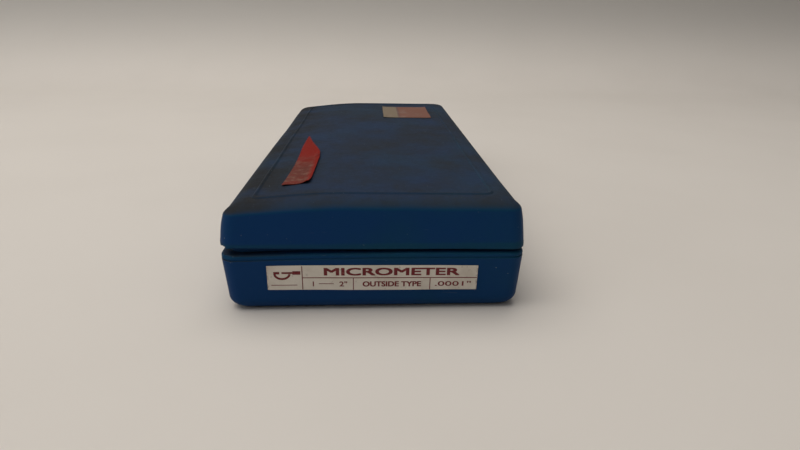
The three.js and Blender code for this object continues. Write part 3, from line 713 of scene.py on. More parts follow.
# %% [markdown]
# ## Paper label
# A printed paper strip on the near end says what is in the case: a small drawing, the kind of tool, its range
# and its smallest reading. The wording here is plain and the drawing is a simple outline of the tool's bow.
# The print could be an image, but letters made as thin solids stay crisp at any distance. They are text
# objects turned into meshes, widened like the old typeface, and laid on the paper by one rule.

# %% Where the label lies
LABEL_WIDTH, LABEL_TALL = 65, 8.3
LABEL_SIDE = -0.4
LABEL_HEIGHT = 11.5
LABEL_TURN = 0.012
PAPER = 0.15
PAPER_GAP = 0.12
INK = 0.03

wall_share = (LABEL_HEIGHT - WALL_FOOT[1]) / (WALL_HEAD[1] - WALL_FOOT[1])
wall_inset = WALL_FOOT[0] + wall_share * (WALL_HEAD[0] - WALL_FOOT[0])
wall_lean = math.atan2(WALL_FOOT[0] - WALL_HEAD[0], WALL_HEAD[1] - WALL_FOOT[1])
LABEL_TURNS = Matrix.Rotation(LABEL_TURN, 3, "Y") @ Matrix.Rotation(wall_lean, 3, "X")
LABEL_MIDDLE = Vector((LABEL_SIDE, -CASE_LENGTH / 2 + wall_inset - PAPER_GAP, LABEL_HEIGHT))


def on_label(across_label, up_label, proud):
    """A point on the label, proud millimetres in front of the wall, bent as the wall is."""
    point = LABEL_MIDDLE + LABEL_TURNS @ Vector((across_label, -proud, up_label))
    return base_warp(*point)


# %% Letters as meshes
def letters(text, cap_height, widen=1.0, thickness=INK):
    """Points (x, y, depth) and faces of a line of text in millimetres, centred on its middle."""
    curve = bpy.data.curves.new("letters", "FONT")
    curve.body = text
    curve.size = cap_height / 0.73
    curve.align_x = "CENTER"
    curve.extrude = thickness / 2
    curve.resolution_u = 4
    holder = bpy.data.objects.new("letters", curve)
    bpy.context.scene.collection.objects.link(holder)
    bpy.context.view_layer.update()
    mesh = bpy.data.meshes.new_from_object(holder.evaluated_get(bpy.context.evaluated_depsgraph_get()))
    points = [(v.co.x * widen, v.co.y - cap_height / 2, v.co.z + thickness / 2) for v in mesh.vertices]
    faces = [tuple(polygon.vertices) for polygon in mesh.polygons]
    bpy.data.objects.remove(holder)
    bpy.data.meshes.remove(mesh)
    bpy.data.curves.remove(curve)
    return points, faces


class Print:
    """Ink gathered into one mesh: rules and letters at places across and up."""

    def __init__(self):
        self.points = []
        self.faces = []

    def add(self, points, faces):
        first = len(self.points)
        self.points += points
        self.faces += [tuple(first + i for i in face) for face in faces]

    def rule(self, left, low, right, high):
        """A straight rule, in short lengths so that it can bend with the paper."""
        count = max(1, round((right - left) / 2))
        step = (right - left) / count
        for i in range(count):
            start, end = left + i * step, left + (i + 1) * step
            corners = [(start, low), (end, low), (end, high), (start, high)]
            points = [(x, y, depth) for depth in (0, INK) for x, y in corners]
            sides = [(k, (k + 1) % 4, 4 + (k + 1) % 4, 4 + k) for k in range(4)]
            self.add(points, [(3, 2, 1, 0), (4, 5, 6, 7)] + sides)

    def text(self, words, x, y, cap_height, widen=1.0, bold=0.0):
        """Letters, made bold by printing them again a little to each side and up and down."""
        points, faces = letters(words, cap_height, widen)
        shifts = [(0, 0)]
        if bold > 0:
            shifts += [(side * bold, lift * bold / 2) for side in (-1, 1) for lift in (-1, 1)]
        for i, (side, lift) in enumerate(shifts):
            self.add([(x + px + side, y + py + lift, depth + i * 0.001) for px, py, depth in points], faces)


# %% Print the label
LEFT, RIGHT = -LABEL_WIDTH / 2, LABEL_WIDTH / 2
FIRST_RULE = -21.8
LOWER_RULES = (-6.1, 17.8)
THIN = 0.13


def print_pictogram(ink, x, y):
    """A bow with its anvil and spindle, in outline."""
    bow = arc((x, y), (2.6, 2.0), 180, 360, 12)
    inner = arc((x, y), (1.9, 1.3), 360, 180, 12)
    outline = bow + inner
    points = [(px, py, depth) for depth in (0, INK) for px, py in outline]
    count = len(outline)
    faces = [(i, (i + 1) % count, count + (i + 1) % count, count + i) for i in range(count)]
    half = len(bow)
    for i in range(half - 1):
        j = count - 1 - i
        faces.append((i, i + 1, j - 1, j))
        faces.append((count + i, count + i + 1, count + j - 1, count + j))
    ink.add(points, faces)
    ink.rule(x - 2.6, y, x - 0.8, y + 0.8)
    ink.rule(x - 0.1, y + 0.1, x + 3.2, y + 0.7)
    ink.rule(x + 3.2, y - 0.2, x + 5.6, y + 1.0)


def make_label():
    columns, rows = 64, 8
    points = []
    for depth in (0, PAPER):
        for j in range(rows + 1):
            for i in range(columns + 1):
                across_label = LEFT + LABEL_WIDTH * i / columns
                up_label = -LABEL_TALL / 2 + LABEL_TALL * j / rows
                points.append(on_label(across_label, up_label, depth))
    layer = len(points) // 2
    back = grid_faces(columns, rows)
    faces = back + [tuple(layer + k for k in quad) for quad in back]
    border = grid_border(columns, rows)
    for i, a in enumerate(border):
        b = border[(i + 1) % len(border)]
        faces.append((a, b, layer + b, layer + a))
    piece = new_piece("label_paper", points, faces)
    smooth(piece)
    hand_over(piece, "case", "label_paper", paper_finish(), "end_label")


def make_print():
    ink = Print()
    top, low = LABEL_TALL / 2, -LABEL_TALL / 2
    ink.rule(FIRST_RULE - THIN, low + 0.1, FIRST_RULE + THIN, top - 0.2)
    ink.rule(FIRST_RULE, -THIN, RIGHT - 0.1, THIN)
    for x in LOWER_RULES:
        ink.rule(x - THIN, low + 0.1, x + THIN, 0)
    ink.text("MICROMETER", 5.6, 2.15, 2.5, widen=2.0, bold=0.2)
    ink.text("1", FIRST_RULE + 3.3, -2.05, 1.7, bold=0.06)
    ink.rule(FIRST_RULE + 5.0, -2.15, FIRST_RULE + 9.6, -1.95)
    ink.text('2"', FIRST_RULE + 12.6, -2.05, 1.7, widen=1.3, bold=0.06)
    ink.text("OUTSIDE TYPE", 5.9, -2.05, 1.75, widen=1.16, bold=0.1)
    ink.text('.0001"', 25.0, -2.05, 1.65, widen=2.0, bold=0.05)
    print_pictogram(ink, -27.9, 1.3)
    ink.rule(-31.4, -2.6, -23.4, -2.4)
    points = [on_label(x, y, PAPER + 0.004 + depth) for x, y, depth in ink.points]
    piece = new_piece("label_print", points, ink.faces)
    piece.data.materials.append(ink_finish())
    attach(piece, "case")
    print("label print:", len(ink.faces), "faces")


def paper_finish():
    finish = Finish("label_paper")
    x = finish.axes()[0]
    stain = finish.noise(9, 5, 0.6)
    fibre = finish.noise(0.5, 4, 0.7)
    tone = finish.mix(stain.step(0.4, 0.75) * 0.6, (0.72, 0.665, 0.585), (0.52, 0.45, 0.37))
    soil = finish.noise(2.2, 4, 0.75, shift=5).step(0.6, 0.72) * 0.5
    colour = finish.mix(soil, tone, (0.25, 0.20, 0.16))
    edge = abs(x - LABEL_SIDE).step(LABEL_WIDTH / 2 - 0.7, LABEL_WIDTH / 2) * fibre.step(0.45, 0.6)
    colour = finish.mix(edge * 0.7, colour, (0.20, 0.15, 0.12))
    return finish.shade(base_color=colour, roughness=0.62 + 0.2 * stain, normal=finish.bump(fibre, 0.02))


def ink_finish():
    finish = Finish("label_ink")
    wear = finish.noise(0.9, 4, 0.7)
    colour = finish.mix(wear.step(0.56, 0.76), (0.15, 0.003, 0.008), (0.30, 0.075, 0.07))
    return finish.shade(base_color=colour, roughness=0.5 + 0.2 * wear)


make_label()
make_print()

# %% [markdown]
# ## Torn stickers
# Two stickers are left on the lid. The red one is torn to a point and its near end has faded and curls up.
# The far one is a pale band beside an orange one. Each is a thin sheet between two edge lines, so that the
# torn outline comes from the edges themselves, and the sheet is bent with the lid and then lifted at its rim.
# Solidify gives the paper its thickness.

# %% Sheets between two edges
def edge_at(edge, y):
    """Where an edge, a list of (x, y) from near to far, is at a given y."""
    return float(np.interp(y, [point[1] for point in edge], [point[0] for point in edge]))


def sticker(name, left, right, curl, rows, columns):
    near, far = left[0][1], left[-1][1]
    points = []
    for j in range(rows + 1):
        v = j / rows
        for i in range(columns + 1):
            u = i / columns
            y_left = near + (far - near) * v
            y_right = right[0][1] + (far - right[0][1]) * v
            y = y_left + (y_right - y_left) * u
            tear = 0.35 * noise.noise(Vector((u * 3, y * 0.9, 4)))
            x = edge_at(left, y) + (edge_at(right, y) - edge_at(left, y)) * u + tear * abs(u - 0.5)
            place = lid_warp(x, y, PANEL_Z)
            points.append((place.x, place.y, place.z + PAPER_GAP + curl(u, v)))
    piece = new_piece(name, points, grid_faces(columns, rows))
    if piece.data.polygons[0].normal.z < 0:
        piece.data.flip_normals()
    thick = piece.modifiers.new("thickness", "SOLIDIFY")
    thick.thickness = PAPER * MM
    thick.offset = 1
    apply_modifiers(piece)
    smooth(piece, 50)
    return piece


def red_curl(u, v):
    """Up at the near end and along the right-hand side, with a crease across."""
    near = 0.3 * (1 - ease(v, 0, 0.10)) * (0.5 + 0.5 * math.sin(7 * u + 1))
    side = 0.55 * ease(u, 0.72, 1.0) * (1 - ease(v, 0.55, 0.85))
    crease = 0.25 * math.exp(-((v - 0.38 - 0.1 * u) / 0.03) ** 2)
    return near + side + crease


def far_curl(u, v):
    return 0.3 * ease(abs(u - 0.5), 0.4, 0.5) * (0.5 + 0.5 * math.sin(9 * v))


def red_finish():
    finish = Finish("torn_red_sticker")
    x, y, _ = finish.axes()
    patch = finish.noise(7, 5, 0.65)
    fine = finish.noise(1.2, 4, 0.7)
    faded = (1 - y.step(-62, -38)) * x.step(-21.2, -23.5) * (0.55 + 0.45 * patch.step(0.3, 0.6))
    wear_and_highlight = finish.mix((faded * (0.7 + 0.3 * fine)).clamp(), (0.20, 0.007, 0.003), (0.105, 0.034, 0.025))
    pale = finish.noise(4, 5, 0.7, shift=9).step(0.48, 0.62) * faded
    colour = finish.mix(pale * 0.7, wear_and_highlight, (0.21, 0.115, 0.085))
    # Painted shadow along the crease at the curled right-hand edge, and the sheet darker towards its far tip.
    crease_shadow_and_far_darkening = (y.band(-47, -43, 1.5) * x.step(-23.2, -21.6) + y.step(-22, -8) * 0.35).clamp()
    colour = finish.mix(crease_shadow_and_far_darkening * 0.6, colour, (0.12, 0.004, 0.004))
    return finish.shade(base_color=colour, roughness=0.45 + 0.2 * fine, normal=finish.bump(fine, 0.03),
                        specular_ior_level=0.06)


def orange_finish():
    finish = Finish("torn_orange_sticker")
    x = finish.axes()[0]
    patch = finish.noise(8, 5, 0.65)
    bare = x.step(14.2, 15.0)
    tone = finish.mix(bare, (0.20, 0.155, 0.108), (0.18, 0.078, 0.055))
    stripe = x.band(14.2, 15.2, 0.3)
    tone = finish.mix(stripe * 0.6, tone, (0.11, 0.06, 0.06))
    rubbed = finish.mix(patch.step(0.5, 0.72) * 0.65, tone, (0.23, 0.17, 0.14))
    return finish.shade(base_color=rubbed, roughness=0.55 + 0.2 * patch, normal=finish.bump(patch, 0.03),
                        specular_ior_level=0.15)


RED_LEFT = [(-29.9, -83.8), (-29.6, -71), (-29.2, -54), (-29.6, -37), (-29.9, -24), (-29.5, -3.4)]
RED_RIGHT = [(-21.3, -82.2), (-20.8, -79), (-20.8, -47), (-21.6, -37.4), (-23.4, -29.3), (-26.3, -17),
             (-29.1, -3.4)]
FAR_LOW, FAR_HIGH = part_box("sticker_orange")

red = sticker("red_sticker", RED_LEFT, RED_RIGHT, red_curl, 80, 14)
hand_over(red, "lid", "red_paper", red_finish(), "sticker_red")
FAR_EDGES = [[(corner.x / MM, y / MM) for y in (FAR_LOW.y, FAR_HIGH.y)] for corner in (FAR_LOW, FAR_HIGH)]
orange = sticker("orange_sticker", *FAR_EDGES, far_curl, 30, 20)
hand_over(orange, "lid", "orange_paper", orange_finish(), "sticker_orange")

# %% [markdown]
# ## The micrometer's axis
# Most of the tool is round bodies on one line: anvil, spindle, sleeves, thimble and ratchet. On a bench they
# come off a lathe, and here they come from one lathe function. Places along the line are distances from the
# anvil's measuring face, in millimetres, so the numbers read as they would on a drawing of the tool.

# %% Places on the tool, and a lathe
TIP_LOW, TIP_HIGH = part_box("anvil_tip")
TOOL_AXIS = ((TIP_LOW.x + TIP_HIGH.x) / 2 / MM, TIP_LOW.y / MM, (TIP_LOW.z + TIP_HIGH.z) / 2 / MM)
AXIS_X, ANVIL_FACE_Y, AXIS_Z = TOOL_AXIS
INCH = 25.4
SPINDLE_RADIUS = INCH / 8
REST_GAP = INCH
RUN_GAP = 0.08
SEAT_GAP = 0.06
print("axis at x, z:", round(AXIS_X, 2), round(AXIS_Z, 2), "anvil face at y:", round(ANVIL_FACE_Y, 2))


def on_tool(x, distance, z):
    """A point of the tool: x towards its back, a distance from the anvil's face, and z up."""
    return (AXIS_X - x, ANVIL_FACE_Y - distance, AXIS_Z + z)


def turned(name, profile, steps=96, relief=None, axis=TOOL_AXIS):
    """A body from a profile of (radius, distance). relief(angle, distance) is cut into its surface."""
    points, rows = [], []
    for radius, distance in profile:
        first = len(points)
        if radius < 1e-6:
            points.append((axis[0], axis[1] - distance, axis[2]))
            rows.append([first] * steps)
            continue
        rows.append(list(range(first, first + steps)))
        for i in range(steps):
            angle = 2 * math.pi * i / steps
            reach = radius - (relief(angle, distance) if relief else 0)
            out, rise = reach * math.cos(angle), reach * math.sin(angle)
            points.append((axis[0] - out, axis[1] - distance, axis[2] + rise))
    faces = []
    for here, there in zip(rows, rows[1:]):
        for i in range(steps):
            j = (i + 1) % steps
            corners = tuple(dict.fromkeys((here[i], here[j], there[j], there[i])))
            if len(corners) > 2:
                faces.append(corners)
    return new_piece(name, points, faces)


def hollow(points, radius=0.12, steps=2):
    """A closed profile for a body with a hole through it."""
    ring = rounded(points, radius, steps, closed=True)
    return ring + ring[:1]


# %% [markdown]
# ## Metal, carbide and enamel finishes
# Turned steel is scratched round its axis, so its noise is stretched into thin rings across the length.
# Satin chrome is the same idea with softer, greyer rings and a few rust spots. The frame has a baked wrinkle
# enamel, which is small ridges in every direction. Carbide is darker and almost a mirror where it is lapped.

# %% Metal finishes
def metal_finish(name, colour, spot, roughness, ring_depth):
    finish = Finish(name)
    rings = finish.noise(0.22, 4, 0.65, stretch=(0.06, 1, 0.06))
    cloud = finish.noise(7, 4, 0.6, shift=3)
    spots = finish.noise(1.7, 5, 0.7, shift=13).step(0.66, 0.74) * cloud.step(0.45, 0.65)
    darker = tuple(value * 0.72 for value in colour)
    tone = finish.mix(cloud.step(0.3, 0.75) * 0.6 + rings * 0.25, colour, darker)
    stained = finish.mix(spots * 0.7, tone, spot)
    rough = roughness + 0.14 * rings + 0.1 * cloud + 0.25 * spots
    relief = finish.bump(rings, ring_depth)
    return finish.shade(base_color=stained, metallic=1 - 0.7 * spots, roughness=rough, normal=relief)


RUST = (0.16, 0.075, 0.035)
STEEL = metal_finish("ground_steel", (0.56, 0.57, 0.58), RUST, 0.16, 0.004)
PLAIN_STEEL = metal_finish("plain_steel", (0.44, 0.44, 0.45), RUST, 0.28, 0.008)
CHROME = metal_finish("satin_chrome", (0.66, 0.67, 0.68), (0.30, 0.27, 0.22), 0.27, 0.006)
CARBIDE = metal_finish("lapped_carbide", (0.20, 0.20, 0.215), (0.12, 0.12, 0.12), 0.08, 0.001)


def enamel_finish():
    finish = Finish("wrinkle_enamel")
    wrinkle = finish.node("TexVoronoi", {"feature": "SMOOTH_F1"}, {"Vector": finish.at, "Scale": 1.7})
    fine = finish.noise(0.35, 3, 0.6)
    chip = finish.noise(3.2, 5, 0.7, shift=8).step(0.70, 0.73)
    dusty = finish.axes(finish.facing)[2].step(0.6, 1.0) * finish.noise(12, 4, 0.6).step(0.45, 0.7)
    paint = finish.mix(wrinkle.step(0.1, 0.7), (0.012, 0.014, 0.015), (0.028, 0.032, 0.034))
    dusted = finish.mix(dusty * 0.3, paint, (0.11, 0.105, 0.095))
    colour = finish.mix(chip, dusted, (0.24, 0.22, 0.20))
    relief = finish.bump(wrinkle, 0.12)
    relief = finish.bump(fine, 0.02, below=relief)
    rough = 0.36 + 0.2 * fine + 0.15 * dusty
    return finish.shade(base_color=colour, roughness=rough, metallic=chip * 0.8, normal=relief)


def black_plastic_finish():
    finish = Finish("black_moulded_plastic")
    grain = finish.noise(0.3, 3, 0.6)
    cloud = finish.noise(9, 4, 0.6)
    grey = finish.noise(2.5, 5, 0.7, shift=6).step(0.6, 0.75) * 0.5
    colour = finish.mix(cloud, (0.010, 0.010, 0.011), (0.022, 0.021, 0.020))
    colour = finish.mix(grey, colour, (0.09, 0.085, 0.08))
    return finish.shade(base_color=colour, roughness=0.42 + 0.2 * grain, normal=finish.bump(grain, 0.03))


ENAMEL = enamel_finish()
BLACK_PLASTIC = black_plastic_finish()

# %% [markdown]
# ## Frame
# The frame is a U-shaped iron forging with a boss for the anvil at one end and one for the barrel at the
# other. Its fillets are what make it look forged. A plate and two turned bosses are joined, remeshed into
# small even faces and smoothed, which melts the inside corners into fillets. The bores are cut afterwards, so
# they stay crisp.

# %% Frame and its bores
ANVIL_BOSS = (-14, -4.2)
ANVIL_BOSS_RADIUS = 6.4
BARREL_BOSS = (54, 68)
BARREL_BOSS_RADIUS = 7.4
BOW_DEPTH = 41.5
THROAT_DEPTH = 31
BOW_START = 5
FRAME_HALF = 3.9
LOCK_PLACE = 58.5
SLEEVE_START = 62
NUT_RADIUS = 5.6
THROAT_MIDDLE = (ANVIL_BOSS[1] + BARREL_BOSS[0]) / 2
BOW_MIDDLE = (ANVIL_BOSS[0] + BARREL_BOSS[1]) / 2


def bow_arc(depth, middle, half_width, start, end, steps):
    """Part of the bow's ellipse, as (x, distance) points of the tool. Angles are in degrees."""
    points = arc((0, 0), (half_width, depth), start, end, steps)
    return [(-BOW_START - y, middle + x) for x, y in points]


def tool_piece(piece):
    """Puts a piece that was made at the origin, with its bow on the -X side, into its place in the case."""
    bend(piece, on_tool)
    return piece


def bore(radius, start, end):
    return turned("bore", rod_profile(radius, start, end), 64)


def make_frame():
    throat = bow_arc(THROAT_DEPTH - BOW_START, THROAT_MIDDLE, THROAT_MIDDLE - ANVIL_BOSS[1], 180, 0, 44)
    outside = bow_arc(BOW_DEPTH - BOW_START, BOW_MIDDLE, BOW_MIDDLE - ANVIL_BOSS[0], 0, 180, 52)
    backing = ANVIL_BOSS_RADIUS - 2.2
    outline = [(backing, ANVIL_BOSS[0]), (backing, ANVIL_BOSS[1]), *throat,
               (backing, BARREL_BOSS[0]), (backing, BARREL_BOSS[1]), *outside]
    frame = tool_piece(plate("forged_frame", outline, -FRAME_HALF, FRAME_HALF, 0.9))
    bosses = []
    for (start, end), radius in ((ANVIL_BOSS, ANVIL_BOSS_RADIUS), (BARREL_BOSS, BARREL_BOSS_RADIUS)):
        bosses.append(turned("boss", rod_profile(radius, start, end, 0.8, 4), 72))
    combine(frame, "UNION", bosses)
    soften(frame, 0.42, 7)
    bores = [bore(SPINDLE_RADIUS + SEAT_GAP, ANVIL_BOSS[0] - 1, ANVIL_BOSS[1] + 1),
             bore(SPINDLE_RADIUS + RUN_GAP, BARREL_BOSS[0] - 1, SLEEVE_START + 1),
             bore(NUT_RADIUS + SEAT_GAP, SLEEVE_START, BARREL_BOSS[1] + 1)]
    x, y, z = on_tool(0, LOCK_PLACE, 0)
    bores.append(post("bore", 1.6, x, y, z, z + BARREL_BOSS_RADIUS + 1))
    for px, py, pz in GRIP_SCREW_PLACES:
        bores.append(post("bore", GRIP_SCREW_RADIUS + SEAT_GAP, px, py, pz - 6, pz + 6))
    combine(frame, "DIFFERENCE", bores)
    smooth(frame, 50)
    hand_over(frame, "case", "frame_enamel", ENAMEL, "frame")


GRIP_SCREW_RADIUS = 0.9
GRIP_THICKNESS = 1.05
GRIP_SCREW_ANGLES = (64.8, 115.2)


def grip_screw_places():
    depth = (BOW_DEPTH + THROAT_DEPTH) / 2 - BOW_START
    middle = (THROAT_MIDDLE + BOW_MIDDLE) / 2
    spots = [bow_arc(depth, middle, depth, angle, angle, 1)[0] for angle in GRIP_SCREW_ANGLES]
    return [on_tool(x, distance, 0) for x, distance in spots]


GRIP_SCREW_PLACES = grip_screw_places()
make_frame()

# %% [markdown]
# ## Grip plates and their screws
# Two black plastic plates keep the warmth of the hand out of the frame, each held by two slotted screws. The
# plates follow the bow's ellipse a little inside its edges. The screws are one function in a loop, with the
# slot of each turned by a different amount, because nobody lines up screw slots.

# %% Grips and screws
def grip_outline():
    margin = 2.1
    outer_half = BOW_MIDDLE - ANVIL_BOSS[0] - margin
    inner_half = THROAT_MIDDLE - ANVIL_BOSS[1] + margin
    outer = bow_arc(BOW_DEPTH - BOW_START - margin, BOW_MIDDLE, outer_half, 43, 137, 32)
    inner = bow_arc(THROAT_DEPTH - BOW_START + margin, THROAT_MIDDLE, inner_half, 135, 45, 32)
    return outer + inner


def slotted_head(name, radius, shank, x, y, low, head, top, slot_width, slot_turn):
    """A screw with a domed, slotted head. It points down, or up where top is below head."""
    sign = 1 if top > head else -1
    dome = [(radius * math.cos(a), head + (top - head) * (0.45 + 0.55 * math.sin(a)))
            for a in np.linspace(0, math.radians(80), 6)]
    profile = [(shank, low), (shank, head), (radius, head)] + dome
    rings = [[(x + r * math.cos(t), y + r * math.sin(t), z) for t in np.linspace(0, 2 * math.pi, 41)[:-1]]
             for r, z in profile]
    screw = loft(name, rings)
    cutter = block("slot", (-radius - 1, -slot_width / 2, 0), (radius + 1, slot_width / 2, 3))
    depth = 0.55 * abs(top - head)

    def place_slot(px, py, pz):
        c, s = math.cos(slot_turn), math.sin(slot_turn)
        return (x + px * c - py * s, y + px * s + py * c, top - sign * depth + sign * pz)

    bend(cutter, place_slot)
    combine(screw, "DIFFERENCE", [cutter])
    smooth(screw, 40)
    return screw


def make_grips():
    for side, sign in (("upper", 1), ("lower", -1)):
        near = sign * (FRAME_HALF + SEAT_GAP)
        far = sign * (FRAME_HALF + SEAT_GAP + GRIP_THICKNESS)
        grip = tool_piece(plate(f"{side}_grip", grip_outline(), min(near, far), max(near, far), 0.3))
        bore_radius = GRIP_SCREW_RADIUS + SEAT_GAP
        holes = [post("hole", bore_radius, x, y, z - 8, z + 8) for x, y, z in GRIP_SCREW_PLACES]
        combine(grip, "DIFFERENCE", holes)
        smooth(grip, 40, flat_faces=True)
        hand_over(grip, "case", "black_plastic", BLACK_PLASTIC, f"grip_plate_{side}")
        for i, (x, y, z) in enumerate(GRIP_SCREW_PLACES, 1):
            head = z + far + sign * SEAT_GAP
            screw = slotted_head(f"{side}_grip_screw_{i}", 1.7, GRIP_SCREW_RADIUS, x, y,
                                 z + sign * (FRAME_HALF - 2.4), head, head + sign * 0.7, 0.4, 0.7 * i + sign)
            hand_over(screw, "case", "steel", PLAIN_STEEL, f"grip_screw_{side}_{i}")


make_grips()

# %% [markdown]
# ## Anvil and spindle
# The two measuring faces are carbide tips on ground steel rods. The spindle's other end carries the thread
# that makes the tool work, 40 turns to the inch. The thread is cut as real ridges in the profile, because it
# shows through the gap behind the sleeve when the thimble is wound back.

# %% Anvil, spindle and tips
THREAD_PITCH = INCH / 40
THREAD_RADIUS = 3.9
THREAD_ROOT = THREAD_RADIUS - 0.32
THREAD_RANGE = (69, 108)
TAPER_RADIUS = 3
THIMBLE_START = 73.4
THIMBLE_LENGTH = 40.1
THIMBLE_END = THIMBLE_START + THIMBLE_LENGTH
RATCHET_START = THIMBLE_END + 0.3
FLANGE_END = RATCHET_START + 3.2
SPINDLE_END = FLANGE_END - 0.3
RATCHET_SCREW_RADIUS = 1.4
TIP_LENGTH = 1.5
ANVIL_BACK = -15.2


def thread_profile():
    start, end = THREAD_RANGE
    count = int((end - start) / THREAD_PITCH)
    ridges = []
    for i in range(count):
        place = start + 0.7 + i * THREAD_PITCH
        ridges += [(THREAD_ROOT, place), (THREAD_RADIUS, place + THREAD_PITCH / 2)]
    return ridges


def make_spindle():
    face = REST_GAP + TIP_LENGTH + SEAT_GAP
    hole = RATCHET_SCREW_RADIUS + SEAT_GAP
    start = [(0, face), (SPINDLE_RADIUS, face), (SPINDLE_RADIUS, THREAD_RANGE[0])]
    well = SPINDLE_END - 6
    end = [(THREAD_ROOT, THREAD_RANGE[1]), (TAPER_RADIUS, THREAD_RANGE[1] + 0.9),
           (TAPER_RADIUS, SPINDLE_END), (hole, SPINDLE_END), (hole, well), (0, well)]
    spindle = turned("spindle_rod", start + thread_profile() + end, 72)
    smooth(spindle, 25)
    hand_over(spindle, "thimble", "steel", STEEL, "spindle")


def make_tips():
    for name, node, body, back, face in (
            ("anvil_face_tip", "anvil_tip", "case", -TIP_LENGTH, 0),
            ("spindle_face_tip", "spindle_tip", "spindle_slide", REST_GAP + TIP_LENGTH, REST_GAP)):
        tip = turned(name, rod_profile(SPINDLE_RADIUS, back, face, 0.12))
        smooth(tip, 40)
        hand_over(tip, body, "carbide", CARBIDE, node)
    anvil = turned("anvil_rod", rod_profile(SPINDLE_RADIUS, ANVIL_BACK, -TIP_LENGTH - SEAT_GAP, 0.3))
    smooth(anvil, 40)
    hand_over(anvil, "case", "steel", STEEL, "anvil")


make_tips()
make_spindle()

# %% [markdown]
# ## Sleeves and their scale
# The inner sleeve is the nut that the thread runs in. The outer one carries the scale: a long datum line, a
# mark for each turn of the thimble and a number for every fourth mark. A second set of lines runs along the
# sleeve, for reading ten-thousandths. The lines are sums on the place along and round the axis, so they need
# no image, and the numbers are thin letters bent round the sleeve.

# %% Scale lines and numbers
SLEEVE_RADIUS = 6.9
SLEEVE_END = 101.4
SPANNER_HOLE = 99
NUT_NECK = 4.9
RING_RADIUS = 6.5
RING_PLACE = (102.4, 105.6)
SCALE_START = THIMBLE_START
MARK_INK = (0.02, 0.02, 0.022)
THIMBLE_MARKS = 25
VERNIER_STEP = math.radians(360 / THIMBLE_MARKS * 0.9)
NUMBER_ANGLE = math.radians(62)


def line_at(position, half_width):
    """1 where a value is within half_width of a whole number."""
    away = abs((position + 0.5).math("FRACT") - 0.5)
    return away.step(half_width * 1.3, half_width * 0.8)


def sleeve_finish():
    finish = Finish("graduated_chrome")
    x, y, z = finish.axes()
    across = x - AXIS_X
    along = ANVIL_FACE_Y - y - SCALE_START
    angle = (AXIS_X - x).math("ARCTAN2", z - AXIS_Z)
    on_top = z.step(AXIS_Z, AXIS_Z + 0.5)
    turns = along / THREAD_PITCH
    every = line_at(turns, 0.11) * across.band(0, 1.7, 0.05)
    fourth = line_at(turns / 4, 0.03) * across.band(0, 2.5, 0.05)
    scale = (every + fourth).clamp() * along.band(-0.1, 25.5, 0.05)
    datum = abs(across).step(0.10, 0.06) * along.band(-4, 27, 0.1)
    vernier = line_at(angle / VERNIER_STEP, 0.05) * angle.band(-0.03, VERNIER_STEP * 10.1, 0.02)
    vernier = vernier * along.band(3, 22, 0.05)
    ink = ((scale + datum) * on_top + vernier).clamp()
    rings = finish.noise(0.22, 4, 0.6, stretch=(0.06, 1, 0.06))
    cloud = finish.noise(6, 4, 0.6)
    chrome = finish.mix(cloud, (0.66, 0.67, 0.68), (0.52, 0.53, 0.53))
    colour = finish.mix(ink, chrome, MARK_INK)
    relief = finish.bump(ink, -0.05, below=finish.bump(rings, 0.004))
    return finish.shade(base_color=colour, metallic=1 - ink, roughness=0.33 + 0.12 * rings, normal=relief)


def wrapped_number(text, cap_height, radius, angle, distance, slope=0.0):
    """Letters laid on a round surface. Their tops point along the axis towards the ratchet."""
    points, faces = letters(text, cap_height, widen=0.9, thickness=0.02)
    placed = []
    for x, y, depth in points:
        reach = radius + slope * y + 0.006 + depth
        turn = angle - x / radius
        placed.append(on_tool(-reach * math.cos(turn), distance + y, reach * math.sin(turn)))
    return placed, faces


def add_numbers(name, body, numbers):
    ink = Print()
    for text, cap_height, radius, angle, distance, slope in numbers:
        ink.add(*wrapped_number(text, cap_height, radius, angle, distance, slope))
    piece = new_piece(name, ink.points, ink.faces)
    piece.data.materials.append(number_ink())
    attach(piece, body)
    print(f"{name}: {len(numbers)} numbers")


def number_ink():
    finish = Finish("black_scale_ink")
    wear = finish.noise(0.4, 3, 0.6)
    colour = finish.mix(wear, (0.012, 0.012, 0.013), (0.05, 0.05, 0.05))
    return finish.shade(base_color=colour, roughness=0.5 + 0.2 * wear)


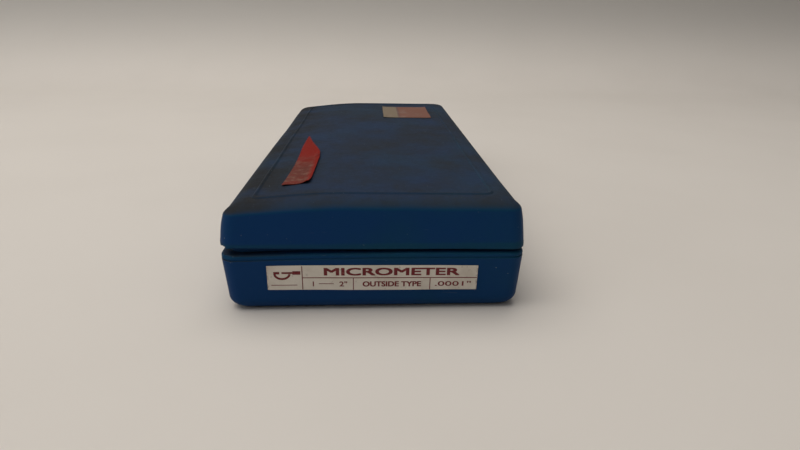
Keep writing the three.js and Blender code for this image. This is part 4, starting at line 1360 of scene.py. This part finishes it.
def make_sleeves():
    start, bore_radius = BARREL_BOSS[1] + SEAT_GAP, NUT_RADIUS + SEAT_GAP
    profile = hollow([(bore_radius, start), (SLEEVE_RADIUS, start), (SLEEVE_RADIUS, SLEEVE_END),
                      (bore_radius, SLEEVE_END)])
    outer = turned("scale_sleeve", profile, 128)
    x, y, z = on_tool(0, SPANNER_HOLE, 0)
    combine(outer, "DIFFERENCE", [post("hole", 0.8, x, y, z - SLEEVE_RADIUS - 1, z - NUT_RADIUS + 0.2)])
    smooth(outer, 40)
    hand_over(outer, "case", "satin_chrome", sleeve_finish(), "graduated_sleeve")
    numbers = [(str(i % 10), 1.35, SLEEVE_RADIUS, NUMBER_ANGLE, SCALE_START + i * THREAD_PITCH * 4, 0.0)
               for i in range(11)]
    add_numbers("sleeve_numbers", "case", numbers)
    inner_bore = THREAD_RADIUS + RUN_GAP
    start, shoulder, end = SLEEVE_START + 0.2, SLEEVE_END + 0.1, 106
    profile = hollow([(inner_bore, start), (NUT_RADIUS, start), (NUT_RADIUS, shoulder),
                      (NUT_NECK, shoulder + 0.5), (NUT_NECK, end), (inner_bore, end)])
    nut = turned("nut_sleeve", profile, 72)
    smooth(nut, 35)
    hand_over(nut, "case", "steel", PLAIN_STEEL, "inner_sleeve")
    hole, (start, end) = NUT_NECK + SEAT_GAP, RING_PLACE
    profile = hollow([(hole, start), (RING_RADIUS, start), (RING_RADIUS, end), (hole, end)], 0.25)
    ring = turned("wear_nut", profile, 72)
    reach, width = (RING_RADIUS - 0.6, RING_RADIUS + 0.7), (-0.5, 0.5)
    cutters = []
    for sideways, upwards in ((reach, width), (width, reach)):
        for side in (-1, 1):
            cutter = block("slot", (sideways[0], start + 1, upwards[0]), (sideways[1], end - 1, upwards[1]))
            bend(cutter, lambda px, py, pz, s=side: on_tool(px * s, py, pz * s))
            cutters.append(cutter)
    combine(ring, "DIFFERENCE", cutters)
    smooth(ring, 35)
    hand_over(ring, "case", "steel", PLAIN_STEEL, "adjusting_nut")


make_sleeves()

# %% [markdown]
# ## Thimble
# The thimble turns with the spindle. Its bevelled edge has 25 marks, and its grip is knurled: two sets of
# grooves that cross and leave small diamond points. Knurling could be a bump, but it shows on the outline, so
# the lathe cuts it as relief: each point's depth comes from two triangle waves that run round and along.

# %% Knurled thimble
THIMBLE_RADIUS = 8.9
SLEEVE_BORE = SLEEVE_RADIUS + RUN_GAP + 0.1
BEVEL_RADIUS = SLEEVE_BORE + 0.35
BEVEL_LENGTH = 5.5
BARREL_RADIUS = 8.4
KNURL = (THIMBLE_START + 17, THIMBLE_END - 4)
KNURL_TEETH = 54
KNURL_DEPTH = 0.4
STEPS_PER_TOOTH = 4


def triangle(value):
    """0 at whole numbers, 1 halfway between."""
    return 1 - abs(2 * (value % 1.0) - 1)


def diamond_knurl(angle, distance):
    low, high = KNURL
    if not low < distance < high:
        return 0.0
    around = angle / (2 * math.pi) * KNURL_TEETH
    along = (distance - low) * KNURL_TEETH / (2 * math.pi * THIMBLE_RADIUS)
    return KNURL_DEPTH * (1 - min(triangle(around + along), triangle(around - along)))


def make_thimble():
    low, high = KNURL
    tooth = 2 * math.pi * THIMBLE_RADIUS / KNURL_TEETH
    rows = int((high - low) / tooth * STEPS_PER_TOOTH)
    knurl_rows = [(THIMBLE_RADIUS, low + (high - low) * i / rows) for i in range(rows + 1)]
    seat = TAPER_RADIUS + SEAT_GAP
    front = rounded([(SLEEVE_BORE, THIMBLE_START + 2), (SLEEVE_BORE, THIMBLE_START),
                     (BEVEL_RADIUS, THIMBLE_START), (BARREL_RADIUS, THIMBLE_START + BEVEL_LENGTH),
                     (BARREL_RADIUS, THIMBLE_START + 15), (THIMBLE_RADIUS, THIMBLE_START + 15.4),
                     (THIMBLE_RADIUS, low - 0.5)], 0.1, 2)
    back = rounded([(THIMBLE_RADIUS, high + 0.5), (THIMBLE_RADIUS, THIMBLE_END - 3), (8.2, THIMBLE_END - 1.6),
                    (7.4, THIMBLE_END), (seat, THIMBLE_END), (seat, THIMBLE_END - 4.2),
                    (SLEEVE_BORE, THIMBLE_END - 4.2)], 0.2, 3)
    profile = front + knurl_rows + back
    thimble = turned("knurled_thimble", profile + profile[:1], KNURL_TEETH * STEPS_PER_TOOTH, diamond_knurl)
    smooth(thimble, 24)
    hand_over(thimble, "thimble", "satin_chrome", thimble_finish(), "thimble")
    slope = (BARREL_RADIUS - BEVEL_RADIUS) / BEVEL_LENGTH
    middle = 3.6
    radius = BEVEL_RADIUS + slope * middle
    numbers = [(str(5 * i), 1.3, radius, math.pi / 2 - 2 * math.pi * i / 5, THIMBLE_START + middle, slope)
               for i in range(5)]
    add_numbers("thimble_numbers", "thimble", numbers)


def thimble_finish():
    finish = Finish("thimble_chrome")
    x, y, z = finish.axes()
    angle = (AXIS_X - x).math("ARCTAN2", z - AXIS_Z)
    along = ANVIL_FACE_Y - y - THIMBLE_START
    count = angle * (THIMBLE_MARKS / (2 * math.pi))
    marks = line_at(count, 0.06) * along.band(0.1, 1.5, 0.05)
    fifth = line_at(count / 5, 0.012) * along.band(0.1, 2.5, 0.05)
    ink = (marks + fifth).clamp()
    rings = finish.noise(0.25, 4, 0.6, stretch=(0.06, 1, 0.06))
    cloud = finish.noise(8, 4, 0.6)
    # The knurled band is darkened in blotches, both for grease and as painted shade that stands in for its dark
    # grooves.
    grease_and_knurl_shade = finish.noise(2.0, 4, 0.7, shift=4).step(0.5, 0.7) * along.band(KNURL[0] - THIMBLE_START, 36, 0.5)
    chrome = finish.mix(cloud, (0.66, 0.67, 0.68), (0.50, 0.51, 0.51))
    chrome = finish.mix(grease_and_knurl_shade * 0.5, chrome, (0.16, 0.15, 0.13))
    colour = finish.mix(ink, chrome, MARK_INK)
    rough = 0.3 + 0.14 * rings + 0.15 * grease_and_knurl_shade
    relief = finish.bump(rings, 0.004)
    return finish.shade(base_color=colour, metallic=1 - 0.95 * ink, roughness=rough, normal=relief)


make_thimble()

# %% [markdown]
# ## Ratchet stop
# Turning the small knob at the end drives the spindle until it meets the work. Then a spring lets the knob
# slip round on toothed faces, so every reading is taken with the same force. The knob is straight-knurled by
# the same lathe relief, and the spring is a helix swept by a short loop.

# %% Ratchet pieces
KNOB_RADIUS = 4.8
KNOB_START = FLANGE_END + 0.3
KNOB_END = KNOB_START + 15.8
KNOB_WELL = KNOB_START + 4.6
KNOB_SEAT = KNOB_END - 2.4
KNOB_KNURL = (KNOB_START + 5.6, KNOB_END - 1.2)
KNOB_TEETH = 36
FLANGE_RADIUS = 6.2
FLANGE_TEETH = 48


def straight_knurl(angle, distance):
    low, high = KNOB_KNURL
    if not low < distance < high:
        return 0.0
    return 0.26 * triangle(angle / (2 * math.pi) * KNOB_TEETH)


def flange_notches(angle, _):
    """Fine notches round the flange, for the fingers."""
    return 0.12 * triangle(angle / (2 * math.pi) * FLANGE_TEETH)


def make_ratchet():
    seat = TAPER_RADIUS + SEAT_GAP
    profile = hollow([(seat, RATCHET_START), (FLANGE_RADIUS, RATCHET_START), (FLANGE_RADIUS, FLANGE_END),
                      (seat, FLANGE_END)], 0.3, 3)
    flange = turned("ratchet_flange", profile, FLANGE_TEETH * 4, flange_notches)
    flats = []
    for side in (-1, 1):
        low, high = sorted((side * 5.6, side * 8))
        flats.append(tool_piece(block("flat", (low, RATCHET_START - 1, -9), (high, FLANGE_END + 1, 9))))
    combine(flange, "DIFFERENCE", flats)
    smooth(flange, 30)
    hand_over(flange, "thimble", "steel", PLAIN_STEEL, "ratchet_body")
    hole = RATCHET_SCREW_RADIUS + RUN_GAP
    low, high = KNOB_KNURL
    outside = rounded([(3.4, KNOB_START), (KNOB_RADIUS, KNOB_START), (KNOB_RADIUS, KNOB_START + 3),
                       (4, KNOB_START + 3.6), (4, KNOB_START + 4.6), (KNOB_RADIUS, KNOB_START + 5.2),
                       (KNOB_RADIUS, low)], 0.2, 3)
    teeth = [(KNOB_RADIUS, low + (high - low) * i / 12) for i in range(13)]
    inside = rounded([(KNOB_RADIUS, high), (KNOB_RADIUS, KNOB_END - 0.6), (KNOB_RADIUS - 0.6, KNOB_END),
                      (2.8, KNOB_END), (2.8, KNOB_SEAT), (hole, KNOB_SEAT), (hole, KNOB_WELL),
                      (3.4, KNOB_WELL)], 0.15, 3)
    profile = outside + teeth + inside
    knob = turned("knurled_knob", profile + profile[:1], KNOB_TEETH * 6, straight_knurl)
    smooth(knob, 30)
    hand_over(knob, "ratchet", "satin_chrome", CHROME, "ratchet_knob")
    head = KNOB_SEAT + 0.15
    point, top = SPINDLE_END - 5.5, head + 1.4
    profile = rounded([(0, point), (RATCHET_SCREW_RADIUS, point), (RATCHET_SCREW_RADIUS, head),
                       (2.5, head), (2.5, top), (0, top)], 0.15)
    screw = turned("knob_screw", profile, 64)
    slot = tool_piece(block("slot", (-3, head + 0.8, -0.3), (3, head + 2, 0.3)))
    combine(screw, "DIFFERENCE", [slot])
    smooth(screw, 35)
    hand_over(screw, "thimble", "steel", PLAIN_STEEL, "ratchet_screw")


def make_spring():
    radius, wire, turns, sides = 2.5, 0.35, 3, 10
    start, end = KNOB_START + 0.6, KNOB_WELL - 0.6
    rings = []
    steps = turns * 28
    for i in range(steps + 1):
        angle = 2 * math.pi * turns * i / steps
        place = start + (end - start) * i / steps
        ring = []
        for k in range(sides):
            lean = 2 * math.pi * k / sides
            reach = radius + wire * math.cos(lean)
            along = place + wire * math.sin(lean)
            ring.append(on_tool(reach * math.cos(angle), along, reach * math.sin(angle)))
        rings.append(ring)
    spring = loft("knob_spring", rings)
    smooth(spring, 60)
    hand_over(spring, "ratchet", "steel", STEEL, "ratchet_spring")


make_ratchet()
make_spring()

# %% [markdown]
# ## Lock
# A small lever on top of the barrel's boss turns a screw that clamps the spindle, so that a reading can be
# carried away. The lever is a plate with a round eye and a narrower, rounded end.

# %% Lock lever and screw
LOCK_SCREW_RADIUS = 1.5


def make_lock():
    low = BARREL_BOSS_RADIUS + 0.2
    high = low + 2
    arm = 12.5
    eye = arc((0, LOCK_PLACE), 3.4, -65, 65, 18)
    tip = arc((-arm + 1.9, LOCK_PLACE), 1.9, 90, 270, 14)
    lever = tool_piece(plate("clamp_lever", eye + tip, low, high, 0.4))
    x, y, z = on_tool(0, LOCK_PLACE, 0)
    seat = post("seat", LOCK_SCREW_RADIUS + SEAT_GAP, x, y, z + low - 1, z + high + 1)
    combine(lever, "DIFFERENCE", [seat])
    smooth(lever, 35, flat_faces=True)
    hand_over(lever, "lock", "steel", PLAIN_STEEL, "lock_lever")
    head = z + high + SEAT_GAP
    screw = slotted_head("clamp_screw", 2.4, LOCK_SCREW_RADIUS, x, y, z + SPINDLE_RADIUS + 0.25, head,
                         head + 0.8, 0.6, 0.5)
    hand_over(screw, "lock", "steel", PLAIN_STEEL, "lock_screw")


make_lock()

# %% [markdown]
# ## Setting standard and spanner
# A micrometer that starts at one inch can't be closed to check its zero, so it comes with a one inch rod with
# lapped ends and a plastic sleeve to hold it by. The spanner's tooth fits a hole in the graduated sleeve,
# which is turned a little to set the zero.

# %% Accessories
STANDARD_LOW, STANDARD_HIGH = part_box("setting_standard")
STANDARD_MIDDLE = tuple((STANDARD_LOW + STANDARD_HIGH) / 2 / MM)
STANDARD_HALF = INCH / 2
STANDARD_RADIUS = 4
GRIP_RADIUS = 5.6
GRIP_HALF = 7
SPANNER_LOW, SPANNER_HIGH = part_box("spanner")


def grip_grooves(_, distance):
    """Rings moulded into the middle of the sleeve."""
    return 0.3 * triangle(distance / 1.4 + 0.5) if abs(distance) < GRIP_HALF - 1.4 else 0.0


def make_standard():
    profile = rod_profile(STANDARD_RADIUS, -STANDARD_HALF, STANDARD_HALF, 0.35)
    rod = turned("one_inch_standard", profile, axis=STANDARD_MIDDLE)
    smooth(rod, 40)
    hand_over(rod, "case", "steel", STEEL, "setting_standard")
    inner = STANDARD_RADIUS + SEAT_GAP
    outside = [(GRIP_RADIUS, -GRIP_HALF + 0.5 + 13 * i / 80) for i in range(81)]
    profile = [(inner, -GRIP_HALF), (GRIP_RADIUS - 0.5, -GRIP_HALF), *outside, (GRIP_RADIUS - 0.5, GRIP_HALF),
               (inner, GRIP_HALF), (inner, -GRIP_HALF)]
    sleeve = turned("standard_holder", profile, 72, grip_grooves, STANDARD_MIDDLE)
    smooth(sleeve, 35)
    hand_over(sleeve, "case", "black_plastic", BLACK_PLASTIC, "standard_grip")


def make_spanner():
    thickness, arm, arm_half = 1.6, 62, 3.6
    inner = SLEEVE_RADIUS + 0.4
    outer = inner + 4.2
    arm_start = -math.sqrt(outer ** 2 - arm_half ** 2)
    foot = math.degrees(0.34)
    outline = (arc((0, 0), outer, 68.4, -90 + foot, 24)
               + arc((0, arm_start - arm + arm_half), arm_half, 0, -180, 20)
               + arc((0, 0), outer, -90 - foot, -129.6, 8)
               + arc((0, 0), inner, -129.6, 54, 28)
               + [(3.3, inner - 2.3), (2, inner - 1.6), (2.2, inner + 0.1)])
    spanner = plate("sleeve_spanner", outline, 0, thickness, 0.2)
    combine(spanner, "DIFFERENCE", [post("hole", 1.7, 0, arm_start - arm + arm_half, -1, thickness + 1)])
    place_y = SPANNER_HIGH.y / MM - max(y for _, y in outline)
    place_x = SPANNER_HIGH.x / MM - max(x for x, _ in outline)
    bend(spanner, lambda x, y, z: (x + place_x, y + place_y, z + SPANNER_LOW.z / MM))
    smooth(spanner, 35, flat_faces=True)
    hand_over(spanner, "case", "steel", PLAIN_STEEL, "spanner")
    return place_x, place_y


make_standard()
SPANNER_PLACE = make_spanner()

# %% [markdown]
# ## Hinge pin
# One long steel wire, a little shorter than the row of barrels it runs through.

# %% Pin
def make_pin():
    half = KNUCKLES[-1][1] - 0.5
    pin = hinge_rod("hinge_wire", 1.1, -half, half, 0.3)
    smooth(pin, 35)
    hand_over(pin, "case", "steel", PLAIN_STEEL, "hinge_pin")


make_pin()

# %% [markdown]
# ## Foam bed and lid pad
# The tool lies in a block of grey foam with pockets cut to its shape, and a second pad in the lid holds it
# down. Foam has no sharp edge, so the block is cut by a boolean, remeshed into small even faces and smoothed,
# which rounds every pocket's rim. The lid pad is the wavy kind: rows of soft bumps from two cosines.

# %% Foam finish
def foam_finish(name, tone, shade_tone):
    finish = Finish(name)
    cells = finish.node("TexVoronoi", {"feature": "F1"}, {"Vector": finish.at, "Scale": 1.5})
    pores = cells.step(0.15, 0.75)
    fluff = finish.noise(0.7, 5, 0.7)
    press = finish.noise(30, 4, 0.6)
    colour = finish.mix(press.step(0.3, 0.7), tone, shade_tone)
    darker = tuple(value * 0.35 for value in shade_tone)
    # The pores are painted darker: painted shade inside the foam's open cells.
    colour = finish.mix((1 - pores) * 0.75, colour, darker)
    relief = finish.bump(pores, 0.3)
    relief = finish.bump(fluff, 0.15, below=relief)
    return finish.shade(base_color=colour, roughness=0.9 + 0.08 * fluff, normal=relief)


# %% Bed
FLOORS = {"frame": 11.4, "axis": 10.1, "thimble": 8.7}
CLEARANCE = 0.9
POCKET_TOP = BED_TOP + 5


def pocket(x_range, y_range, floor, corner=2.5):
    low, high = (min(x_range), min(y_range)), (max(x_range), max(y_range))
    outline = [low, (high[0], low[1]), high, (low[0], high[1])]
    return plate("pocket", rounded(outline, corner, 5, closed=True), floor, POCKET_TOP)


def axis_pocket(reach, start, end, floor):
    return pocket((AXIS_X - reach, AXIS_X + reach), (ANVIL_FACE_Y - end, ANVIL_FACE_Y - start), floor, 1.5)


def frame_pocket():
    half = BOW_MIDDLE - ANVIL_BOSS[0] + CLEARANCE
    bow = bow_arc(BOW_DEPTH - BOW_START + CLEARANCE, BOW_MIDDLE, half, 0, 180, 48)
    outline = [(6, BOW_MIDDLE - half), (6, BOW_MIDDLE + half)] + bow
    placed = [on_tool(x, distance, 0)[:2] for x, distance in outline]
    return plate("pocket", placed, FLOORS["frame"], POCKET_TOP)


def make_bed():
    bed = shell("foam_block", across(2.6, 9) + [(6.9, 2.6), (5.3, 4.2), (4, BED_TOP)]
                + across(BED_TOP, 9)[::-1])
    x, y, z = STANDARD_MIDDLE
    spanner_x, spanner_y = SPANNER_PLACE
    spanner_floor = SPANNER_LOW.z / MM - 0.3
    hook = SLEEVE_RADIUS + 4.6
    grip_reach = GRIP_RADIUS + CLEARANCE
    rod_reach = STANDARD_HALF + CLEARANCE
    finger_y = ANVIL_FACE_Y - 92
    pockets = [
        frame_pocket(),
        axis_pocket(BARREL_BOSS_RADIUS + CLEARANCE, -16.4, 70, FLOORS["axis"]),
        axis_pocket(THIMBLE_RADIUS + CLEARANCE, 68.5, KNOB_END + INCH + 1.5, FLOORS["thimble"]),
        pocket((AXIS_X, AXIS_X + 23), (finger_y - 11, finger_y + 11), FLOORS["thimble"], 6),
        pocket((x - grip_reach, x + grip_reach), (y - rod_reach, y + rod_reach), z - GRIP_RADIUS - 0.3),
        post("pocket", 7.5, x + 8, y, z - 5, POCKET_TOP),
        post("pocket", hook + CLEARANCE, spanner_x, spanner_y, spanner_floor, POCKET_TOP, steps=48),
        pocket((spanner_x - 4.5, spanner_x + 4.5), (spanner_y - hook - 62, spanner_y), spanner_floor, 2),
        post("pocket", 9, spanner_x, spanner_y - 46, spanner_floor - 5, POCKET_TOP),
    ]
    combine(bed, "DIFFERENCE", pockets)
    soften(bed, 0.8, 4)
    bend(bed, lambda px, py, pz: Vector((px, py, pz)) + ripple(px, py, pz, 9, 0.12))
    smooth(bed, 60)
    finish = foam_finish("bed_foam", (0.028, 0.031, 0.036), (0.018, 0.02, 0.023))
    hand_over(bed, "case", "bed_foam", finish, "foam_bed")


# %% Lid pad
PAD_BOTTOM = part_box("lid_pad")[0].z / MM
PAD_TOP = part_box("lid_pad")[1].z / MM
BUMP_PITCH = 13.0
BUMP_HEIGHT = 2.4


def make_lid_pad():
    half_x, half_y = CASE_WIDTH / 2 - 5.4, CASE_LENGTH / 2 - 5.4
    columns, rows = 70, 160
    points = []
    for j in range(rows + 1):
        for i in range(columns + 1):
            x, y = half_x * (2 * i / columns - 1), half_y * (2 * j / rows - 1)
            wave = math.cos(2 * math.pi * x / BUMP_PITCH) * math.cos(2 * math.pi * y / BUMP_PITCH)
            edge = max(abs(x) - half_x + 1.2, abs(y) - half_y + 1.2, 0) / 1.2
            z = PAD_BOTTOM + BUMP_HEIGHT * (0.5 + 0.5 * wave)
            points.append((x, y, z + (PAD_TOP - 1 - z) * edge ** 2))
    faces = grid_faces(columns, rows)
    border = grid_border(columns, rows)
    top = len(points)
    points += [(points[i][0], points[i][1], PAD_TOP) for i in border]
    count = len(border)
    for k in range(count):
        following = (k + 1) % count
        faces.append((border[k], border[following], top + following, top + k))
    faces.append(tuple(top + k for k in range(count)))
    pad = new_piece("wavy_lid_pad", points, faces)
    bend(pad, lid_warp)
    smooth(pad, 60)
    finish = foam_finish("pad_foam", (0.06, 0.064, 0.07), (0.04, 0.043, 0.048))
    hand_over(pad, "lid", "pad_foam", finish, "lid_pad")


make_bed()
make_lid_pad()

# %% [markdown]
# ## Stage and light
# The floor is one pale sheet that curves up into a greyer wall on all four sides, so no edge or corner shows
# from any side. The wall stands close behind the case and well away on the other sides. The light is soft: a
# wide panel overhead, a window to the left and a dim sky, as in a workshop office.

# %% Floor and walls
FLOOR_LOW, FLOOR_HIGH = (-2500, -2500), (2500, 420)
FLOOR_CORNER = 400
SWEEP_RADIUS = 160
SWEEP_STEPS = 12
WALL_TOP = 1500


def floor_finish():
    finish = Finish("pale_table")
    z = finish.axes()[2]
    grain = finish.noise(2.2, detail=4)
    smudge = finish.noise(90, detail=2)
    table = finish.mix(smudge.step(0.35, 0.75), (0.70, 0.655, 0.60), (0.685, 0.64, 0.585))
    tone = finish.mix(z.step(5, 120), table, (0.46, 0.44, 0.41))
    return finish.shade(base_color=tone, roughness=0.75, normal=finish.bump(grain, 0.02))


def room_ring(growth, z):
    (left, front), (right, back) = FLOOR_LOW, FLOOR_HIGH
    corners = [(left - growth, front - growth), (right + growth, front - growth),
               (right + growth, back + growth), (left - growth, back + growth)]
    return [(x, y, z) for x, y in rounded(corners, FLOOR_CORNER + growth, 12, closed=True)]


def make_floor():
    rings = [room_ring(0, 0)]
    for i in range(1, SWEEP_STEPS + 1):
        angle = i / SWEEP_STEPS * math.pi / 2
        rings.append(room_ring(SWEEP_RADIUS * math.sin(angle), SWEEP_RADIUS * (1 - math.cos(angle))))
    rings.append(room_ring(SWEEP_RADIUS, WALL_TOP))
    count = len(rings[0])
    faces = [tuple(range(count))] + skin_faces(len(rings), count)
    floor = new_piece("floor", [point for ring in rings for point in ring], faces)
    smooth(floor, 60)
    floor.data.materials.append(floor_finish())


make_floor()

# %% Lights
def area_light(name, place, target, size, power, colour):
    data = bpy.data.lights.new(name, "AREA")
    data.shape = "RECTANGLE"
    data.size, data.size_y = size
    data.energy = power
    data.color = colour
    lamp = bpy.data.objects.new(name, data)
    lamp.location = place
    lamp.rotation_euler = (Vector(target) - Vector(place)).to_track_quat("-Z", "Y").to_euler()
    bpy.context.scene.collection.objects.link(lamp)


area_light("ceiling_panel", (-0.25, 0.15, 1.1), (0, 0, 0), (1.6, 1.2), 13, (1.0, 0.965, 0.92))
area_light("window", (-1.3, -0.5, 0.7), (0, 0, 0), (1.0, 0.8), 2.6, (0.93, 0.96, 1.0))

world = bpy.data.worlds.new("room")
world.use_nodes = True
sky = world.node_tree.nodes["Background"]
sky.inputs["Color"].default_value = (0.86, 0.87, 0.9, 1)
sky.inputs["Strength"].default_value = 0.28
bpy.context.scene.world = world
bpy.context.scene.view_settings.view_transform = "Standard"
